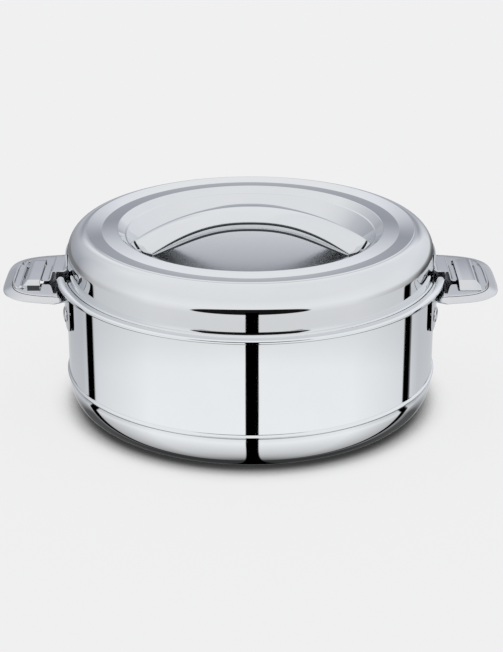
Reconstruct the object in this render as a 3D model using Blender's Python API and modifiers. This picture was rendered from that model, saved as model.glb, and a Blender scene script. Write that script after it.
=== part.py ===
"""Insulated chapati casserole: a double walled steel pot with a hinged, locking lid.

Metres, +Z up, origin on the axis at the height of the surface that the pot stands on.
The side handles and the strap on the lid lie along X. The lid hinges at the left handle
(-X) and the sliding lock sits on the right handle (+X).
"""
import math
import bpy
import bmesh
from mathutils import Matrix, Vector

# Driving dimensions: the wall and the rim, which the other pieces take their places from
SHEET = 0.0007
GAP = 0.0003
ROUND_STEPS = 36
RIVET_STEPS = 12
WALL_RADIUS = 0.1125
RIM_TOP = 0.0862
RIM_PROUD = 0.0060
RIM_WIDTH = 0.0056
RIM_DEPTH = 0.0043
RIM_SKIRT = 0.0026
RIM_RADIUS = WALL_RADIUS + RIM_PROUD
RIM_INNER_RADIUS = RIM_RADIUS - RIM_WIDTH
FLANGE_BOTTOM = RIM_TOP - RIM_DEPTH
FLANGE_LIP = 0.0013
SEAT_DROP = 0.0023
SEAT_TOP = RIM_TOP - SEAT_DROP
RIDGE_LOW = 0.0198
RIDGE_WIDTH = 0.0052
RIDGE_HIGH = RIDGE_LOW + RIDGE_WIDTH
RIDGE_PROUD = 0.0011
FOOT_INSET = 0.0150
FOOT_RADIUS = WALL_RADIUS - FOOT_INSET
FOOT_WIDTH = 0.0045
FOOT_HEIGHT = 0.0025
FOOT_SLOPE = 0.0030
WALL_FOAM = 0.0135
BOWL_RADIUS = WALL_RADIUS - WALL_FOAM
BOWL_TAPER = 0.0030
BOWL_FLOOR = 0.0100
BOWL_CORNER = 0.0120
LEDGE_BEND = 0.0020
PLUG_RADIUS = 0.0070
PLUG_FLANGE = 0.0030
PLUG_THICKNESS = 0.0011
PLUG_STEM = 0.0040

LID_CLEARANCE = 0.0017
LID_RADIUS = RIM_INNER_RADIUS - LID_CLEARANCE
SKIRT_HEIGHT = 0.0123
SKIRT_TOP = RIM_TOP + SKIRT_HEIGHT
SHOULDER_WIDTH = 0.0144
SHOULDER_RADIUS = LID_RADIUS - SHOULDER_WIDTH
SHOULDER_RISE = 0.0123
SHOULDER_TOP = SKIRT_TOP + SHOULDER_RISE
RING_STEP = 0.0008
RING_RADIUS = SHOULDER_RADIUS - RING_STEP
RING_STEP_RISE = 0.0009
RING_EDGE = SHOULDER_TOP + RING_STEP_RISE
CREST_WIDTH = 0.0055
CREST_RADIUS = RING_RADIUS - CREST_WIDTH
CREST_RISE = 0.0015
CREST_TOP = RING_EDGE + CREST_RISE
DISH_LIP_WIDTH = 0.0120
DISH_RADIUS = CREST_RADIUS - DISH_LIP_WIDTH
DISH_LIP_FALL = 0.0014
DISH_EDGE = CREST_TOP - DISH_LIP_FALL
DISH_BEND = 0.0016
DISH_WALL_WIDTH = 0.0070
DISH_WALL_FOOT = DISH_RADIUS - DISH_WALL_WIDTH
DISH_FILLET_WIDTH = 0.0105
DISH_FLOOR_RADIUS = DISH_WALL_FOOT - DISH_FILLET_WIDTH
DISH_DEPTH = 0.0163
DISH_FLOOR = DISH_EDGE - DISH_DEPTH
DISH_FILLET_HEIGHT = 0.0050
DISH_WALL_LOW = DISH_FLOOR + DISH_FILLET_HEIGHT
DISH_CROWN = 0.0008
CROWN_SHARE = 0.75
LINER_SHEET = 0.0006
LINER_RIM = 0.0050
LINER_OVER_SEAT = 0.0024
LINER_FLANGE = SEAT_TOP + LINER_OVER_SEAT
LINER_CLEARANCE = 0.0025
LINER_PLUG_RADIUS = BOWL_RADIUS - LINER_CLEARANCE
LINER_PLUG_SLOPE = 0.0025
LINER_PLUG_DEPTH = 0.0043
LINER_BOTTOM = LINER_FLANGE - LINER_PLUG_DEPTH
SEAL_SETBACK = 0.0030
SEAL_INNER = BOWL_RADIUS + SEAL_SETBACK
SEAL_WIDTH = 0.0040

HANDLE_BELOW_RIM = 0.0066
HANDLE_TOP = RIM_TOP - HANDLE_BELOW_RIM
HINGE_PAST_RIM = 0.0079
HINGE_OUT = RIM_RADIUS + HINGE_PAST_RIM
HANDLE_PAST_HINGE = 0.0236
HANDLE_REACH = HINGE_OUT + HANDLE_PAST_HINGE
HANDLE_SHEET = 0.0012
HANDLE_INSET = 0.0005
HANDLE_ROOT = WALL_RADIUS - HANDLE_INSET
HANDLE_HALF_WIDTH = 0.0335
HANDLE_LIP = 0.0051
HANDLE_LIP_BOTTOM = HANDLE_TOP - HANDLE_LIP
HANDLE_TIP_SLOPE = 0.0050
HANDLE_SIDE_SLOPE = 0.0018
HANDLE_BEND = 0.0085
HANDLE_OUTLINE_POWER = 2.6
HANDLE_ACROSS_SHARES = (-1, -0.66, -0.33, 0, 0.33, 0.66, 1)
HANDLE_TURN_SHARES = (0.88, 0.74, 0.58, 0.42, 0.27, 0.13, 0)
FOOTPLATE_DEPTH = 0.0336
FOOTPLATE_BOTTOM = HANDLE_TOP - FOOTPLATE_DEPTH
FOOTPLATE_SETBACK = 0.0035
FOOTPLATE_HALF_WIDTH = HANDLE_HALF_WIDTH - FOOTPLATE_SETBACK
FOOTPLATE_CORNER = 0.0050
RIVET_MARGIN = 0.0072
RIVET_SPREAD = FOOTPLATE_HALF_WIDTH - RIVET_MARGIN
RIVET_DROP = 0.0164
RIVET_HEIGHT = HANDLE_TOP - RIVET_DROP
RIVET_SHANK = 0.0020
RIVET_HEAD = 0.0050
RIVET_HEAD_RISE = 0.0013
RIVET_TAIL = 0.0036
RIVET_TAIL_RISE = 0.0010
RIVET_HEAD_SHARES = ((0, 1), (0.5, 0.9), (0.86, 0.5), (1, 0))
BACKING_SHEET = 0.0010
BACKING_MARGIN = 0.0055
BACKING_HALF_HEIGHT = 0.0060
BACKING_SHARES = (-1, -0.6, -0.2, 0.2, 0.6, 1)

HINGE_OVER_HANDLE = 0.0015
HINGE_HEIGHT = HANDLE_TOP + HINGE_OVER_HANDLE
TONGUE_SHEET = 0.0008
TONGUE_INSET = 0.0207
TONGUE_HALF_WIDTH = HANDLE_HALF_WIDTH - TONGUE_INSET
TONGUE_OVER_RIM = 0.0004
TONGUE_STEP_PAST_RIM = 0.0018
TONGUE_STEP_OUT = RIM_RADIUS + TONGUE_STEP_PAST_RIM
TONGUE_STEP_RUN = 0.0018
HOOK_LENGTH = 0.0048
BRACKET_HEIGHT = 0.0113
BRACKET_TOP = RIM_TOP + BRACKET_HEIGHT
BRACKET_BEND = 0.0012
TONGUE_ACROSS_SHARES = (-1, -0.5, 0, 0.5, 1)
TAB_SHEET = 0.0010
TAB_SETBACK = 0.0007
TAB_OVER_TONGUE = 0.0006
TAB_MARGIN = 0.0042
TAB_HALF_WIDTH = TONGUE_HALF_WIDTH + TAB_MARGIN
TAB_FLAT_INSET = 0.0033
TAB_FLAT_HALF_WIDTH = TAB_HALF_WIDTH - TAB_FLAT_INSET
TAB_DROOP = 0.0014
TAB_FLAT_LENGTH = 0.0075
TAB_SLOPE_LENGTH = 0.0050
TAB_MIDDLE_SHARE = 0.4
TAB_FALL_SHARES = (0.15, 0.6)
HOLE_CLEARANCE = 0.0008

LOCK_TRAVEL = 0.0035
LOCK_LENGTH = 0.0104
LOCK_SHEET = 0.0010
LOCK_RISE = 0.0036
LOCK_TOP_MARGIN = 0.0040
LOCK_TOP_HALF_WIDTH = TONGUE_HALF_WIDTH + LOCK_TOP_MARGIN
LOCK_SIDE_SLOPE = 0.0060
LOCK_HALF_WIDTH = LOCK_TOP_HALF_WIDTH + LOCK_SIDE_SLOPE
LEG_LENGTH = 0.0030
RETAINER_SHEET = 0.0008
RETAINER_DROP = 0.0024
RETAINER_MARGIN = 0.0020
LEG_HEAD = 0.0008
SPRING_SHEET = 0.0003
SPRING_INSET = 0.0078
SPRING_HALF_LENGTH = LOCK_HALF_WIDTH - SPRING_INSET
SPRING_WIDTH = 0.0060
SPRING_SHARES = (-1, -0.7, -0.35, 0, 0.35, 0.7, 1)

STRAP_SHEET = 0.0009
STRAP_SETBACK = 0.0080
STRAP_HALF_LENGTH = DISH_RADIUS - STRAP_SETBACK
STRAP_END_INSET = 0.0165
STRAP_EDGE_REACH = STRAP_HALF_LENGTH - STRAP_END_INSET
STRAP_HALF_WIDTH = 0.0132
STRAP_RISE = 0.0101
STRAP_TOP = CREST_TOP + STRAP_RISE
STRAP_ARCH = 0.0132
STRAP_ARCH_SHARE = 2.8369
STRAP_ARCH_PERIOD = STRAP_HALF_LENGTH * STRAP_ARCH_SHARE
STRAP_CAMBER = 0.0051
STRAP_EDGE_TOP = STRAP_TOP - STRAP_CAMBER
STRAP_LEVEL_SHARE = 0.2553
STRAP_EDGE_LEVEL = STRAP_HALF_LENGTH * STRAP_LEVEL_SHARE
STRAP_EDGE_FALL = 0.0210
STRAP_LIP = 0.0042
STRAP_EDGE_POWER = 1.8
STRAP_SECTION_POWER = 2.2
STRAP_LANDING_POWER = 6
STRAP_ACROSS_SHARES = (-1, -0.8, -0.5, 0, 0.5, 0.8, 1)
STRAP_LENGTH_SHARES = (-1, -0.96, -0.9, -0.82, -0.72, -0.6, -0.45, -0.25, 0)

OVERRUN = 0.0050
MERGE = 0.00001
SHARP_ANGLE = math.radians(32)

STEEL = (0.80, 0.81, 0.82, 1.0)
FOAM = (0.87, 0.80, 0.55, 1.0)
PLASTIC = (0.12, 0.12, 0.13, 1.0)
SILICONE = (0.75, 0.75, 0.76, 1.0)


# Scene, collections and materials
def clear_scene():
    for item in list(bpy.data.objects):
        bpy.data.objects.remove(item, do_unlink=True)


def make_collection(name):
    collection = bpy.data.collections.new(name)
    bpy.context.scene.collection.children.link(collection)
    return collection


clear_scene()
PARTS = make_collection("chapati_casserole")
CUTTERS = make_collection("cutters")


def finish(name, color, roughness, metallic):
    material = bpy.data.materials.new(name)
    material.use_nodes = True
    shader = material.node_tree.nodes["Principled BSDF"]
    shader.inputs["Base Color"].default_value = color
    shader.inputs["Roughness"].default_value = roughness
    shader.inputs["Metallic"].default_value = metallic
    return material


def steel(piece):
    return finish(piece + "_steel", STEEL, 0.08, 1.0)


def add_object(name, mesh, material=None, collection=None):
    item = bpy.data.objects.new(name, mesh)
    (collection or PARTS).objects.link(item)
    if material:
        mesh.materials.append(material)
    return item


def add_cutter(name, mesh):
    item = add_object(name, mesh, collection=CUTTERS)
    item.hide_render = True
    item.display_type = "WIRE"
    return item


def smooth(item):
    item.data.shade_smooth()
    item.data.set_sharp_from_angle(angle=SHARP_ANGLE)


# Shapes that several pieces share
def arc(center, radii, start, end, count):
    """Points of an elliptic arc in the XZ plane, angles in degrees from +X towards +Z."""
    points = []
    for step in range(count + 1):
        angle = math.radians(start + (end - start) * step / count)
        points.append((center[0] + radii[0] * math.cos(angle), center[1] + radii[1] * math.sin(angle)))
    return points


def turned(name, profile, material, closed=False, sheet=0.0):
    """Revolve a profile of (radius, height) points about Z. An open one becomes a sheet."""
    mesh = bpy.data.meshes.new(name)
    edges = [(index, index + 1) for index in range(len(profile) - 1)]
    if closed:
        edges.append((len(profile) - 1, 0))
    mesh.from_pydata([(radius, 0, height) for radius, height in profile], edges, [])
    item = add_object(name, mesh, material)
    screw = item.modifiers.new("turn", "SCREW")
    screw.axis = "Z"
    screw.angle = math.tau
    screw.steps = ROUND_STEPS
    screw.render_steps = ROUND_STEPS
    screw.use_merge_vertices = True
    screw.merge_threshold = MERGE
    screw.use_smooth_shade = True
    if sheet:
        thicken(item, sheet)
    return item


def inset(profile, distance):
    """The profile moved to its right, the side that its sheet is on, segment by segment."""
    normals = []
    for (x0, z0), (x1, z1) in zip(profile, profile[1:]):
        length = math.hypot(x1 - x0, z1 - z0)
        normals.append(((z1 - z0) / length, (x0 - x1) / length))
    before = normals[:1] + normals
    after = normals + normals[-1:]
    points = []
    for (x, z), (ax, az), (bx, bz) in zip(profile, before, after):
        reach = distance / (1 + ax * bx + az * bz)
        points.append((x + (ax + bx) * reach, z + (az + bz) * reach))
    return points


def thicken(item, sheet, offset=-1):
    solidify = item.modifiers.new("sheet", "SOLIDIFY")
    solidify.thickness = sheet
    solidify.offset = offset
    solidify.use_even_offset = True
    solidify.use_quality_normals = True


def boolean(item, other, operation="DIFFERENCE"):
    modifier = item.modifiers.new(other.name, "BOOLEAN")
    modifier.operation = operation
    modifier.solver = "EXACT"
    modifier.object = other


def grid_mesh(name, rows):
    """A mesh over rows of points, all of one length."""
    width = len(rows[0])
    points = [point for row in rows for point in row]
    faces = []
    for row in range(len(rows) - 1):
        for column in range(width - 1):
            corner = row * width + column
            faces.append((corner, corner + 1, corner + width + 1, corner + width))
    mesh = bpy.data.meshes.new(name)
    mesh.from_pydata(points, [], faces)
    tidy = bmesh.new()
    tidy.from_mesh(mesh)
    bmesh.ops.remove_doubles(tidy, verts=tidy.verts, dist=MERGE)
    tidy.to_mesh(mesh)
    tidy.free()
    return mesh


def box_mesh(name, low, high):
    mesh = bpy.data.meshes.new(name)
    shape = bmesh.new()
    size = [high[axis] - low[axis] for axis in range(3)]
    middle = [(high[axis] + low[axis]) / 2 for axis in range(3)]
    place = Matrix.Translation(middle) @ Matrix.Diagonal((*size, 1))
    bmesh.ops.create_cube(shape, size=1, matrix=place)
    shape.to_mesh(mesh)
    shape.free()
    return mesh


def add_rod(shape, radius, start, end):
    """Add a cylinder between two points to a bmesh."""
    run = Vector(end) - Vector(start)
    turn = run.to_track_quat("Z", "Y").to_matrix().to_4x4()
    place = Matrix.Translation(Vector(start) + run / 2) @ turn
    bmesh.ops.create_cone(shape, cap_ends=True, segments=RIVET_STEPS, radius1=radius,
                          radius2=radius, depth=run.length, matrix=place)


# Body: outer shell, with its flange at the rim, ridge, rounded bottom and filling hole
def shell_bottom():
    """The shell's outer face from under the ridge to the filling hole."""
    lower = (WALL_RADIUS - FOOT_RADIUS, RIDGE_LOW)
    profile = arc((FOOT_RADIUS, RIDGE_LOW), lower, 0, -90, 6)
    profile += [(FOOT_RADIUS - FOOT_WIDTH, 0), (FOOT_RADIUS - FOOT_WIDTH - FOOT_SLOPE, FOOT_HEIGHT)]
    profile += [(PLUG_RADIUS + GAP, FOOT_HEIGHT)]
    return profile


def outer_shell():
    bend = 2 * SHEET
    ridge_middle = (RIDGE_LOW + RIDGE_HIGH) / 2
    flange_radius = RIM_RADIUS - SHEET / 2
    ridge_radii = (RIDGE_PROUD, (RIDGE_HIGH - RIDGE_LOW) / 2)
    profile = [(flange_radius, FLANGE_BOTTOM + FLANGE_LIP), (flange_radius, FLANGE_BOTTOM + SHEET / 2)]
    profile += [(flange_radius - SHEET / 2, FLANGE_BOTTOM), (WALL_RADIUS + bend, FLANGE_BOTTOM)]
    profile += [(WALL_RADIUS + bend / 3, FLANGE_BOTTOM - bend / 3), (WALL_RADIUS, FLANGE_BOTTOM - bend)]
    profile += arc((WALL_RADIUS, ridge_middle), ridge_radii, 90, -90, 4)[:-1]
    profile += shell_bottom()
    shell = turned("outer_shell", profile, steel("outer_shell"), sheet=SHEET)
    for side in (-1, 1):
        boolean(shell, RIVET_HOLES[side])
    return shell


# Body: inner bowl, whose rim rolls over the shell's flange
def bowl_wall():
    """The bowl's inner face from the middle of its floor to the bend under the seat."""
    floor_radius = BOWL_RADIUS - BOWL_TAPER
    corner = (floor_radius - BOWL_CORNER, BOWL_FLOOR + BOWL_CORNER)
    profile = [(0, BOWL_FLOOR), (corner[0], BOWL_FLOOR)]
    profile += arc(corner, (BOWL_CORNER, BOWL_CORNER), -90, 0, 4)[1:]
    profile += [(BOWL_RADIUS, SEAT_TOP - LEDGE_BEND)]
    return profile


def inner_bowl():
    seat = SEAT_TOP
    rim_middle = (RIM_RADIUS + RIM_INNER_RADIUS) / 2
    roll = ((RIM_RADIUS - RIM_INNER_RADIUS) / 2, RIM_TOP - seat - SHEET)
    profile = bowl_wall()
    profile += [(BOWL_RADIUS + LEDGE_BEND / 3, seat - LEDGE_BEND / 3)]
    profile += [(BOWL_RADIUS + LEDGE_BEND, seat), (RIM_INNER_RADIUS - SHEET, seat)]
    profile += arc((rim_middle, seat + SHEET), roll, 180, 0, 6)
    profile += [(RIM_RADIUS, RIM_TOP - RIM_SKIRT)]
    return turned("inner_bowl", profile, steel("inner_bowl"), sheet=SHEET)


# Body: rigid foam that fills the space between shell and bowl
def body_insulation():
    top = SEAT_TOP - LEDGE_BEND
    profile = inset([(WALL_RADIUS, top)] + shell_bottom(), SHEET + GAP)
    hollow = inset(bowl_wall(), SHEET + GAP)
    profile += [(PLUG_RADIUS + GAP, hollow[0][1])] + hollow[1:]
    foam = turned("body_insulation", profile, finish("body_foam", FOAM, 0.9, 0.0), closed=True)
    for side in (-1, 1):
        boolean(foam, BACKING_POCKETS[side])
    return foam


def plug_outline(bottom, rise):
    """A flanged plug: a disc at the bottom and a stem above it."""
    outline = [(0, bottom + rise), (PLUG_RADIUS, bottom + rise), (PLUG_RADIUS, bottom + PLUG_THICKNESS)]
    outline += [(PLUG_RADIUS + PLUG_FLANGE, bottom + PLUG_THICKNESS), (PLUG_RADIUS + PLUG_FLANGE, bottom)]
    outline += [(0, bottom)]
    return outline


def base_plug():
    bottom = FOOT_HEIGHT - GAP - PLUG_THICKNESS
    outline = plug_outline(bottom, PLUG_STEM)
    return turned("base_plug", outline, finish("base_plug_plastic", PLASTIC, 0.5, 0.0))


# Lid: cover, pressed from one sheet with skirt, shoulder, raised ring and recessed dish
def dish_profile():
    crown = [(0, DISH_FLOOR + DISH_CROWN), (DISH_FLOOR_RADIUS / 2, DISH_FLOOR + DISH_CROWN * CROWN_SHARE)]
    fillet = (DISH_WALL_FOOT - DISH_FLOOR_RADIUS, DISH_WALL_LOW - DISH_FLOOR)
    crown += arc((DISH_FLOOR_RADIUS, DISH_FLOOR + fillet[1]), fillet, -90, -15, 3)
    return crown


def cover_profile():
    profile = dish_profile()
    profile += [(DISH_RADIUS - DISH_BEND, DISH_EDGE - DISH_BEND), (DISH_RADIUS, DISH_EDGE)]
    profile += [(CREST_RADIUS, CREST_TOP), (RING_RADIUS, RING_EDGE), (SHOULDER_RADIUS, SHOULDER_TOP)]
    shoulder = (LID_RADIUS - SHOULDER_RADIUS, SHOULDER_TOP - SKIRT_TOP)
    profile += arc((SHOULDER_RADIUS, SKIRT_TOP), shoulder, 90, 0, 5)[1:]
    profile += [(LID_RADIUS, SEAT_TOP + GAP)]
    return profile


def lid_cover():
    return turned("lid_cover", cover_profile(), steel("lid_cover"), sheet=SHEET)


# Lid: flat inner pan with a shallow plug that drops into the bowl's mouth
def liner_profile():
    rim = LID_RADIUS - SHEET - GAP
    profile = [(rim, LINER_FLANGE + LINER_RIM), (rim, LINER_FLANGE)]
    profile += [(LINER_PLUG_RADIUS + LINER_PLUG_SLOPE, LINER_FLANGE), (LINER_PLUG_RADIUS, LINER_BOTTOM)]
    profile += [(PLUG_RADIUS + GAP, LINER_BOTTOM)]
    return profile


def lid_liner():
    return turned("lid_liner", liner_profile(), steel("lid_liner"), sheet=LINER_SHEET)


def lid_insulation():
    top = inset(cover_profile(), SHEET + GAP)[:-1]
    bottom = inset(liner_profile(), LINER_SHEET + GAP)
    seam = (bottom[0][0], SKIRT_TOP)
    profile = [(PLUG_RADIUS + GAP, top[1][1])] + top[1:-1] + [seam] + bottom[1:]
    return turned("lid_insulation", profile, finish("lid_foam", FOAM, 0.9, 0.0), closed=True)


def lid_plug():
    bottom = LINER_BOTTOM - GAP - PLUG_THICKNESS
    outline = plug_outline(bottom, PLUG_STEM)
    return turned("lid_plug", outline, finish("lid_plug_plastic", PLASTIC, 0.5, 0.0))


def lid_seal():
    low = SEAT_TOP + GAP
    high = LINER_FLANGE - GAP
    outer = SEAL_INNER + SEAL_WIDTH
    profile = [(outer, high), (outer, low), (SEAL_INNER, low), (SEAL_INNER, high)]
    return turned("lid_seal", profile, finish("lid_seal_silicone", SILICONE, 0.6, 0.0), closed=True)


# Lid: strap that bridges the dish, its edges turned down, its ends landing in the dish
def dish_height(radius):
    """Height of the dish's upper face at a radius."""
    profile = dish_profile() + [(DISH_RADIUS - DISH_BEND, DISH_EDGE - DISH_BEND)]
    for (inner, low), (outer, high) in zip(profile, profile[1:]):
        if inner <= radius <= outer:
            return low + (high - low) * (radius - inner) / (outer - inner)
    return DISH_EDGE


def strap_edge(along):
    past = max(along - STRAP_EDGE_LEVEL, 0) / (STRAP_EDGE_REACH - STRAP_EDGE_LEVEL)
    return STRAP_EDGE_TOP - STRAP_EDGE_FALL * past ** STRAP_EDGE_POWER


def strap_height(along, across_share):
    """Height of the strap's underside: an arch whose convex section falls to its edges."""
    crest = STRAP_TOP - STRAP_ARCH * (1 - math.cos(math.tau * along / STRAP_ARCH_PERIOD))
    fall = crest - strap_edge(along)
    return crest - STRAP_SHEET - fall * abs(across_share) ** STRAP_SECTION_POWER


def strap_row(length_share):
    """Points of the underside at one share of the length: lip, convex middle, lip."""
    end_weight = abs(length_share) ** STRAP_LANDING_POWER
    lip = STRAP_LIP - (STRAP_LIP - STRAP_SHEET) * end_weight
    row = []
    for across_share in STRAP_ACROSS_SHARES:
        reach = STRAP_HALF_LENGTH - (STRAP_HALF_LENGTH - STRAP_EDGE_REACH) * across_share ** 2
        across = (STRAP_HALF_WIDTH - STRAP_SHEET) * across_share
        landing = dish_height(math.hypot(reach, across)) + 2 * GAP + STRAP_SHEET * across_share ** 8
        along = reach * abs(length_share)
        height = strap_height(along, across_share)
        height += (landing - strap_height(reach, across_share)) * end_weight
        row.append((math.copysign(along, length_share), across, height))
    lean = math.atan((strap_edge(along + GAP) - strap_edge(along)) / GAP)
    inward = -math.copysign(lip * math.sin(lean), length_share)
    lips = [(x + inward, y, z - lip * math.cos(lean)) for x, y, z in (row[0], row[-1])]
    return [lips[0]] + row + [lips[1]]


def lid_strap_handle():
    far_shares = tuple(-share for share in reversed(STRAP_LENGTH_SHARES[:-1]))
    rows = [strap_row(share) for share in STRAP_LENGTH_SHARES + far_shares]
    mesh = grid_mesh("lid_strap_handle", rows)
    strap = add_object("lid_strap_handle", mesh, steel("lid_strap_handle"))
    thicken(strap, STRAP_SHEET)
    smooth(strap)
    return strap


# Lid: side brackets, a plate on the skirt and a tongue that steps down past the rim
def tongue_profile(end):
    """Upper face of a bracket from the plate's top to the tongue's end, along +X."""
    plate = LID_RADIUS + GAP + TONGUE_SHEET
    over = RIM_TOP + TONGUE_OVER_RIM + TONGUE_SHEET
    low = HINGE_HEIGHT + TONGUE_SHEET / 2
    path = [(plate, BRACKET_TOP), (plate, over + BRACKET_BEND), (plate + BRACKET_BEND, over)]
    path += [(TONGUE_STEP_OUT, over), (TONGUE_STEP_OUT + TONGUE_STEP_RUN, low), (end, low)]
    return path


def bracket(name, side, end):
    path = tongue_profile(end)
    curved = 2
    rows = []
    for index, (out, height) in enumerate(path):
        row = []
        for share in TONGUE_ACROSS_SHARES:
            across = share * TONGUE_HALF_WIDTH
            sag = LID_RADIUS - math.sqrt(LID_RADIUS ** 2 - across ** 2)
            x = out - sag if index < curved else out
            row.append((side * x, side * across, height))
        rows.append(row)
    item = add_object(name, grid_mesh(name, rows), steel(name))
    thicken(item, TONGUE_SHEET, offset=1)
    smooth(item)
    return item


# Side handles: a D shaped pan, its edge turned down, and a footplate bent down the wall
def handle_outline(angle, reach, half_width):
    """A point of the D outline, a superellipse about the handle's root, at an angle."""
    power = 2 / HANDLE_OUTLINE_POWER
    return (HANDLE_ROOT + reach * math.cos(angle) ** power, half_width * math.sin(angle) ** power)


def handle_rows():
    """Rows across the handle from the footplate's bottom to the tip, for the +X side."""
    plate = WALL_RADIUS + GAP
    bend_low = HANDLE_TOP - HANDLE_BEND
    path = [(plate, FOOTPLATE_BOTTOM), (plate, FOOTPLATE_BOTTOM + FOOTPLATE_CORNER), (plate, bend_low)]
    path += arc((plate + HANDLE_BEND, bend_low), (HANDLE_BEND, HANDLE_BEND), 180, 90, 3)[1:]
    rows = []
    turn = len(path) - 1
    top_reach = HANDLE_REACH - HANDLE_ROOT - HANDLE_TIP_SLOPE
    top_half = HANDLE_HALF_WIDTH - HANDLE_SIDE_SLOPE
    for index, (out, height) in enumerate(path):
        blend = max(0, (index - 2) / (turn - 2))
        half = FOOTPLATE_HALF_WIDTH + (top_half - FOOTPLATE_HALF_WIDTH) * blend
        if index == 0:
            half -= FOOTPLATE_CORNER
        row = []
        for share in HANDLE_ACROSS_SHARES:
            across = share * half
            sag = (1 - blend) * (plate - math.sqrt(plate ** 2 - across ** 2))
            row.append((out - sag, across, height))
        lip_height = min(height, HANDLE_LIP_BOTTOM)
        flare = HANDLE_SIDE_SLOPE * blend
        front = (row[0][0], row[0][1] - flare, lip_height)
        back = (row[-1][0], row[-1][1] + flare, lip_height)
        rows.append([front] + row + [back])
    start = math.acos(((path[-1][0] - HANDLE_ROOT) / top_reach) ** (HANDLE_OUTLINE_POWER / 2))
    for share in HANDLE_TURN_SHARES:
        angle = start * share
        out, half = handle_outline(angle, top_reach, top_half)
        low_out, low_half = handle_outline(angle, HANDLE_REACH - HANDLE_ROOT, HANDLE_HALF_WIDTH)
        row = [(out, across * half, HANDLE_TOP) for across in HANDLE_ACROSS_SHARES]
        front = (low_out, -low_half, HANDLE_LIP_BOTTOM)
        rows.append([front] + row + [(low_out, low_half, HANDLE_LIP_BOTTOM)])
    return rows


def handle_sheet(name, side):
    rows = [[(side * x, side * y, z) for x, y, z in row] for row in handle_rows()]
    item = add_object(name, grid_mesh(name, rows), steel(name))
    thicken(item, HANDLE_SHEET, offset=1)
    boolean(item, RIVET_HOLES[side])
    return item


def rivet_direction(side, end):
    """Unit vector from the pot's axis through one of a handle's two rivets."""
    across = RIVET_SPREAD / WALL_RADIUS
    return Vector((side * math.sqrt(1 - across ** 2), end * across, 0))


def radial_rods(name, side, radius, inner, outer):
    mesh = bpy.data.meshes.new(name)
    shape = bmesh.new()
    for end in (-1, 1):
        ray = rivet_direction(side, end)
        height = Vector((0, 0, RIVET_HEIGHT))
        add_rod(shape, radius, ray * inner + height, ray * outer + height)
    shape.to_mesh(mesh)
    shape.free()
    return mesh


def rivet_hole_cutter(side):
    name = "rivet_holes_left" if side < 0 else "rivet_holes_right"
    inner = WALL_RADIUS - OVERRUN
    return add_cutter(name, radial_rods(name, side, RIVET_SHANK + GAP, inner, WALL_RADIUS + OVERRUN))


def backing_rows(side, radius, margin, half_height):
    """Rows of a strip that follows the wall behind a handle's rivets."""
    half_angle = math.asin((RIVET_SPREAD + margin) / WALL_RADIUS)
    rows = []
    for up in (-1, 1):
        row = []
        for share in BACKING_SHARES:
            angle = half_angle * share
            x = side * radius * math.cos(angle)
            y = side * radius * math.sin(angle)
            row.append((x, y, RIVET_HEIGHT + up * half_height))
        rows.append(row)
    return rows


def backing_plate(name, side):
    radius = (WALL_RADIUS - SHEET) * math.cos(math.pi / ROUND_STEPS) - GAP
    rows = backing_rows(side, radius, BACKING_MARGIN, BACKING_HALF_HEIGHT)
    plate = add_object(name, grid_mesh(name, rows), steel(name))
    thicken(plate, BACKING_SHEET)
    boolean(plate, RIVET_HOLES[side])
    return plate


def backing_pocket(side):
    """Room in the foam for a backing plate and the rivets' tails."""
    name = "backing_pocket_left" if side < 0 else "backing_pocket_right"
    rows = backing_rows(side, WALL_RADIUS + OVERRUN, 2 * BACKING_MARGIN, BACKING_HALF_HEIGHT + 2 * GAP)
    pocket = add_cutter(name, grid_mesh(name, rows))
    depth = SHEET + BACKING_SHEET + RIVET_TAIL_RISE + 5 * GAP
    thicken(pocket, OVERRUN + depth)
    return pocket


def handle_rivet(name, side, end):
    """A domed rivet through footplate, shell and backing plate."""
    head = WALL_RADIUS + GAP + HANDLE_SHEET + GAP
    tail = (WALL_RADIUS - SHEET) * math.cos(math.pi / ROUND_STEPS) - GAP - BACKING_SHEET - 2 * GAP
    profile = [(RIVET_HEAD * out, head + RIVET_HEAD_RISE * up) for out, up in RIVET_HEAD_SHARES]
    profile += [(RIVET_SHANK, head), (RIVET_SHANK, tail), (RIVET_TAIL, tail)]
    profile += [(RIVET_TAIL, tail - RIVET_TAIL_RISE), (0, tail - RIVET_TAIL_RISE)]
    rivet = turned(name, profile, steel(name))
    rivet.modifiers["turn"].steps = RIVET_STEPS
    rivet.modifiers["turn"].render_steps = RIVET_STEPS
    ray = rivet_direction(side, end)
    turn = ray.to_track_quat("Z", "Y").to_matrix().to_4x4()
    rivet.matrix_world = Matrix.Translation((0, 0, RIVET_HEIGHT)) @ turn
    return rivet


# Hinge side: a tab lanced up from the handle, which holds the lid's hook down
def tab_row(out, height, droop):
    row = []
    middle = (TAB_FLAT_HALF_WIDTH + TAB_HALF_WIDTH) / 2
    for across, droop_share in ((TAB_HALF_WIDTH, 1), (middle, TAB_MIDDLE_SHARE), (TAB_FLAT_HALF_WIDTH, 0)):
        row.append((-out, across, height - droop * droop_share))
    row += [(x, -y, z) for x, y, z in reversed(row)]
    return row


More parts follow.
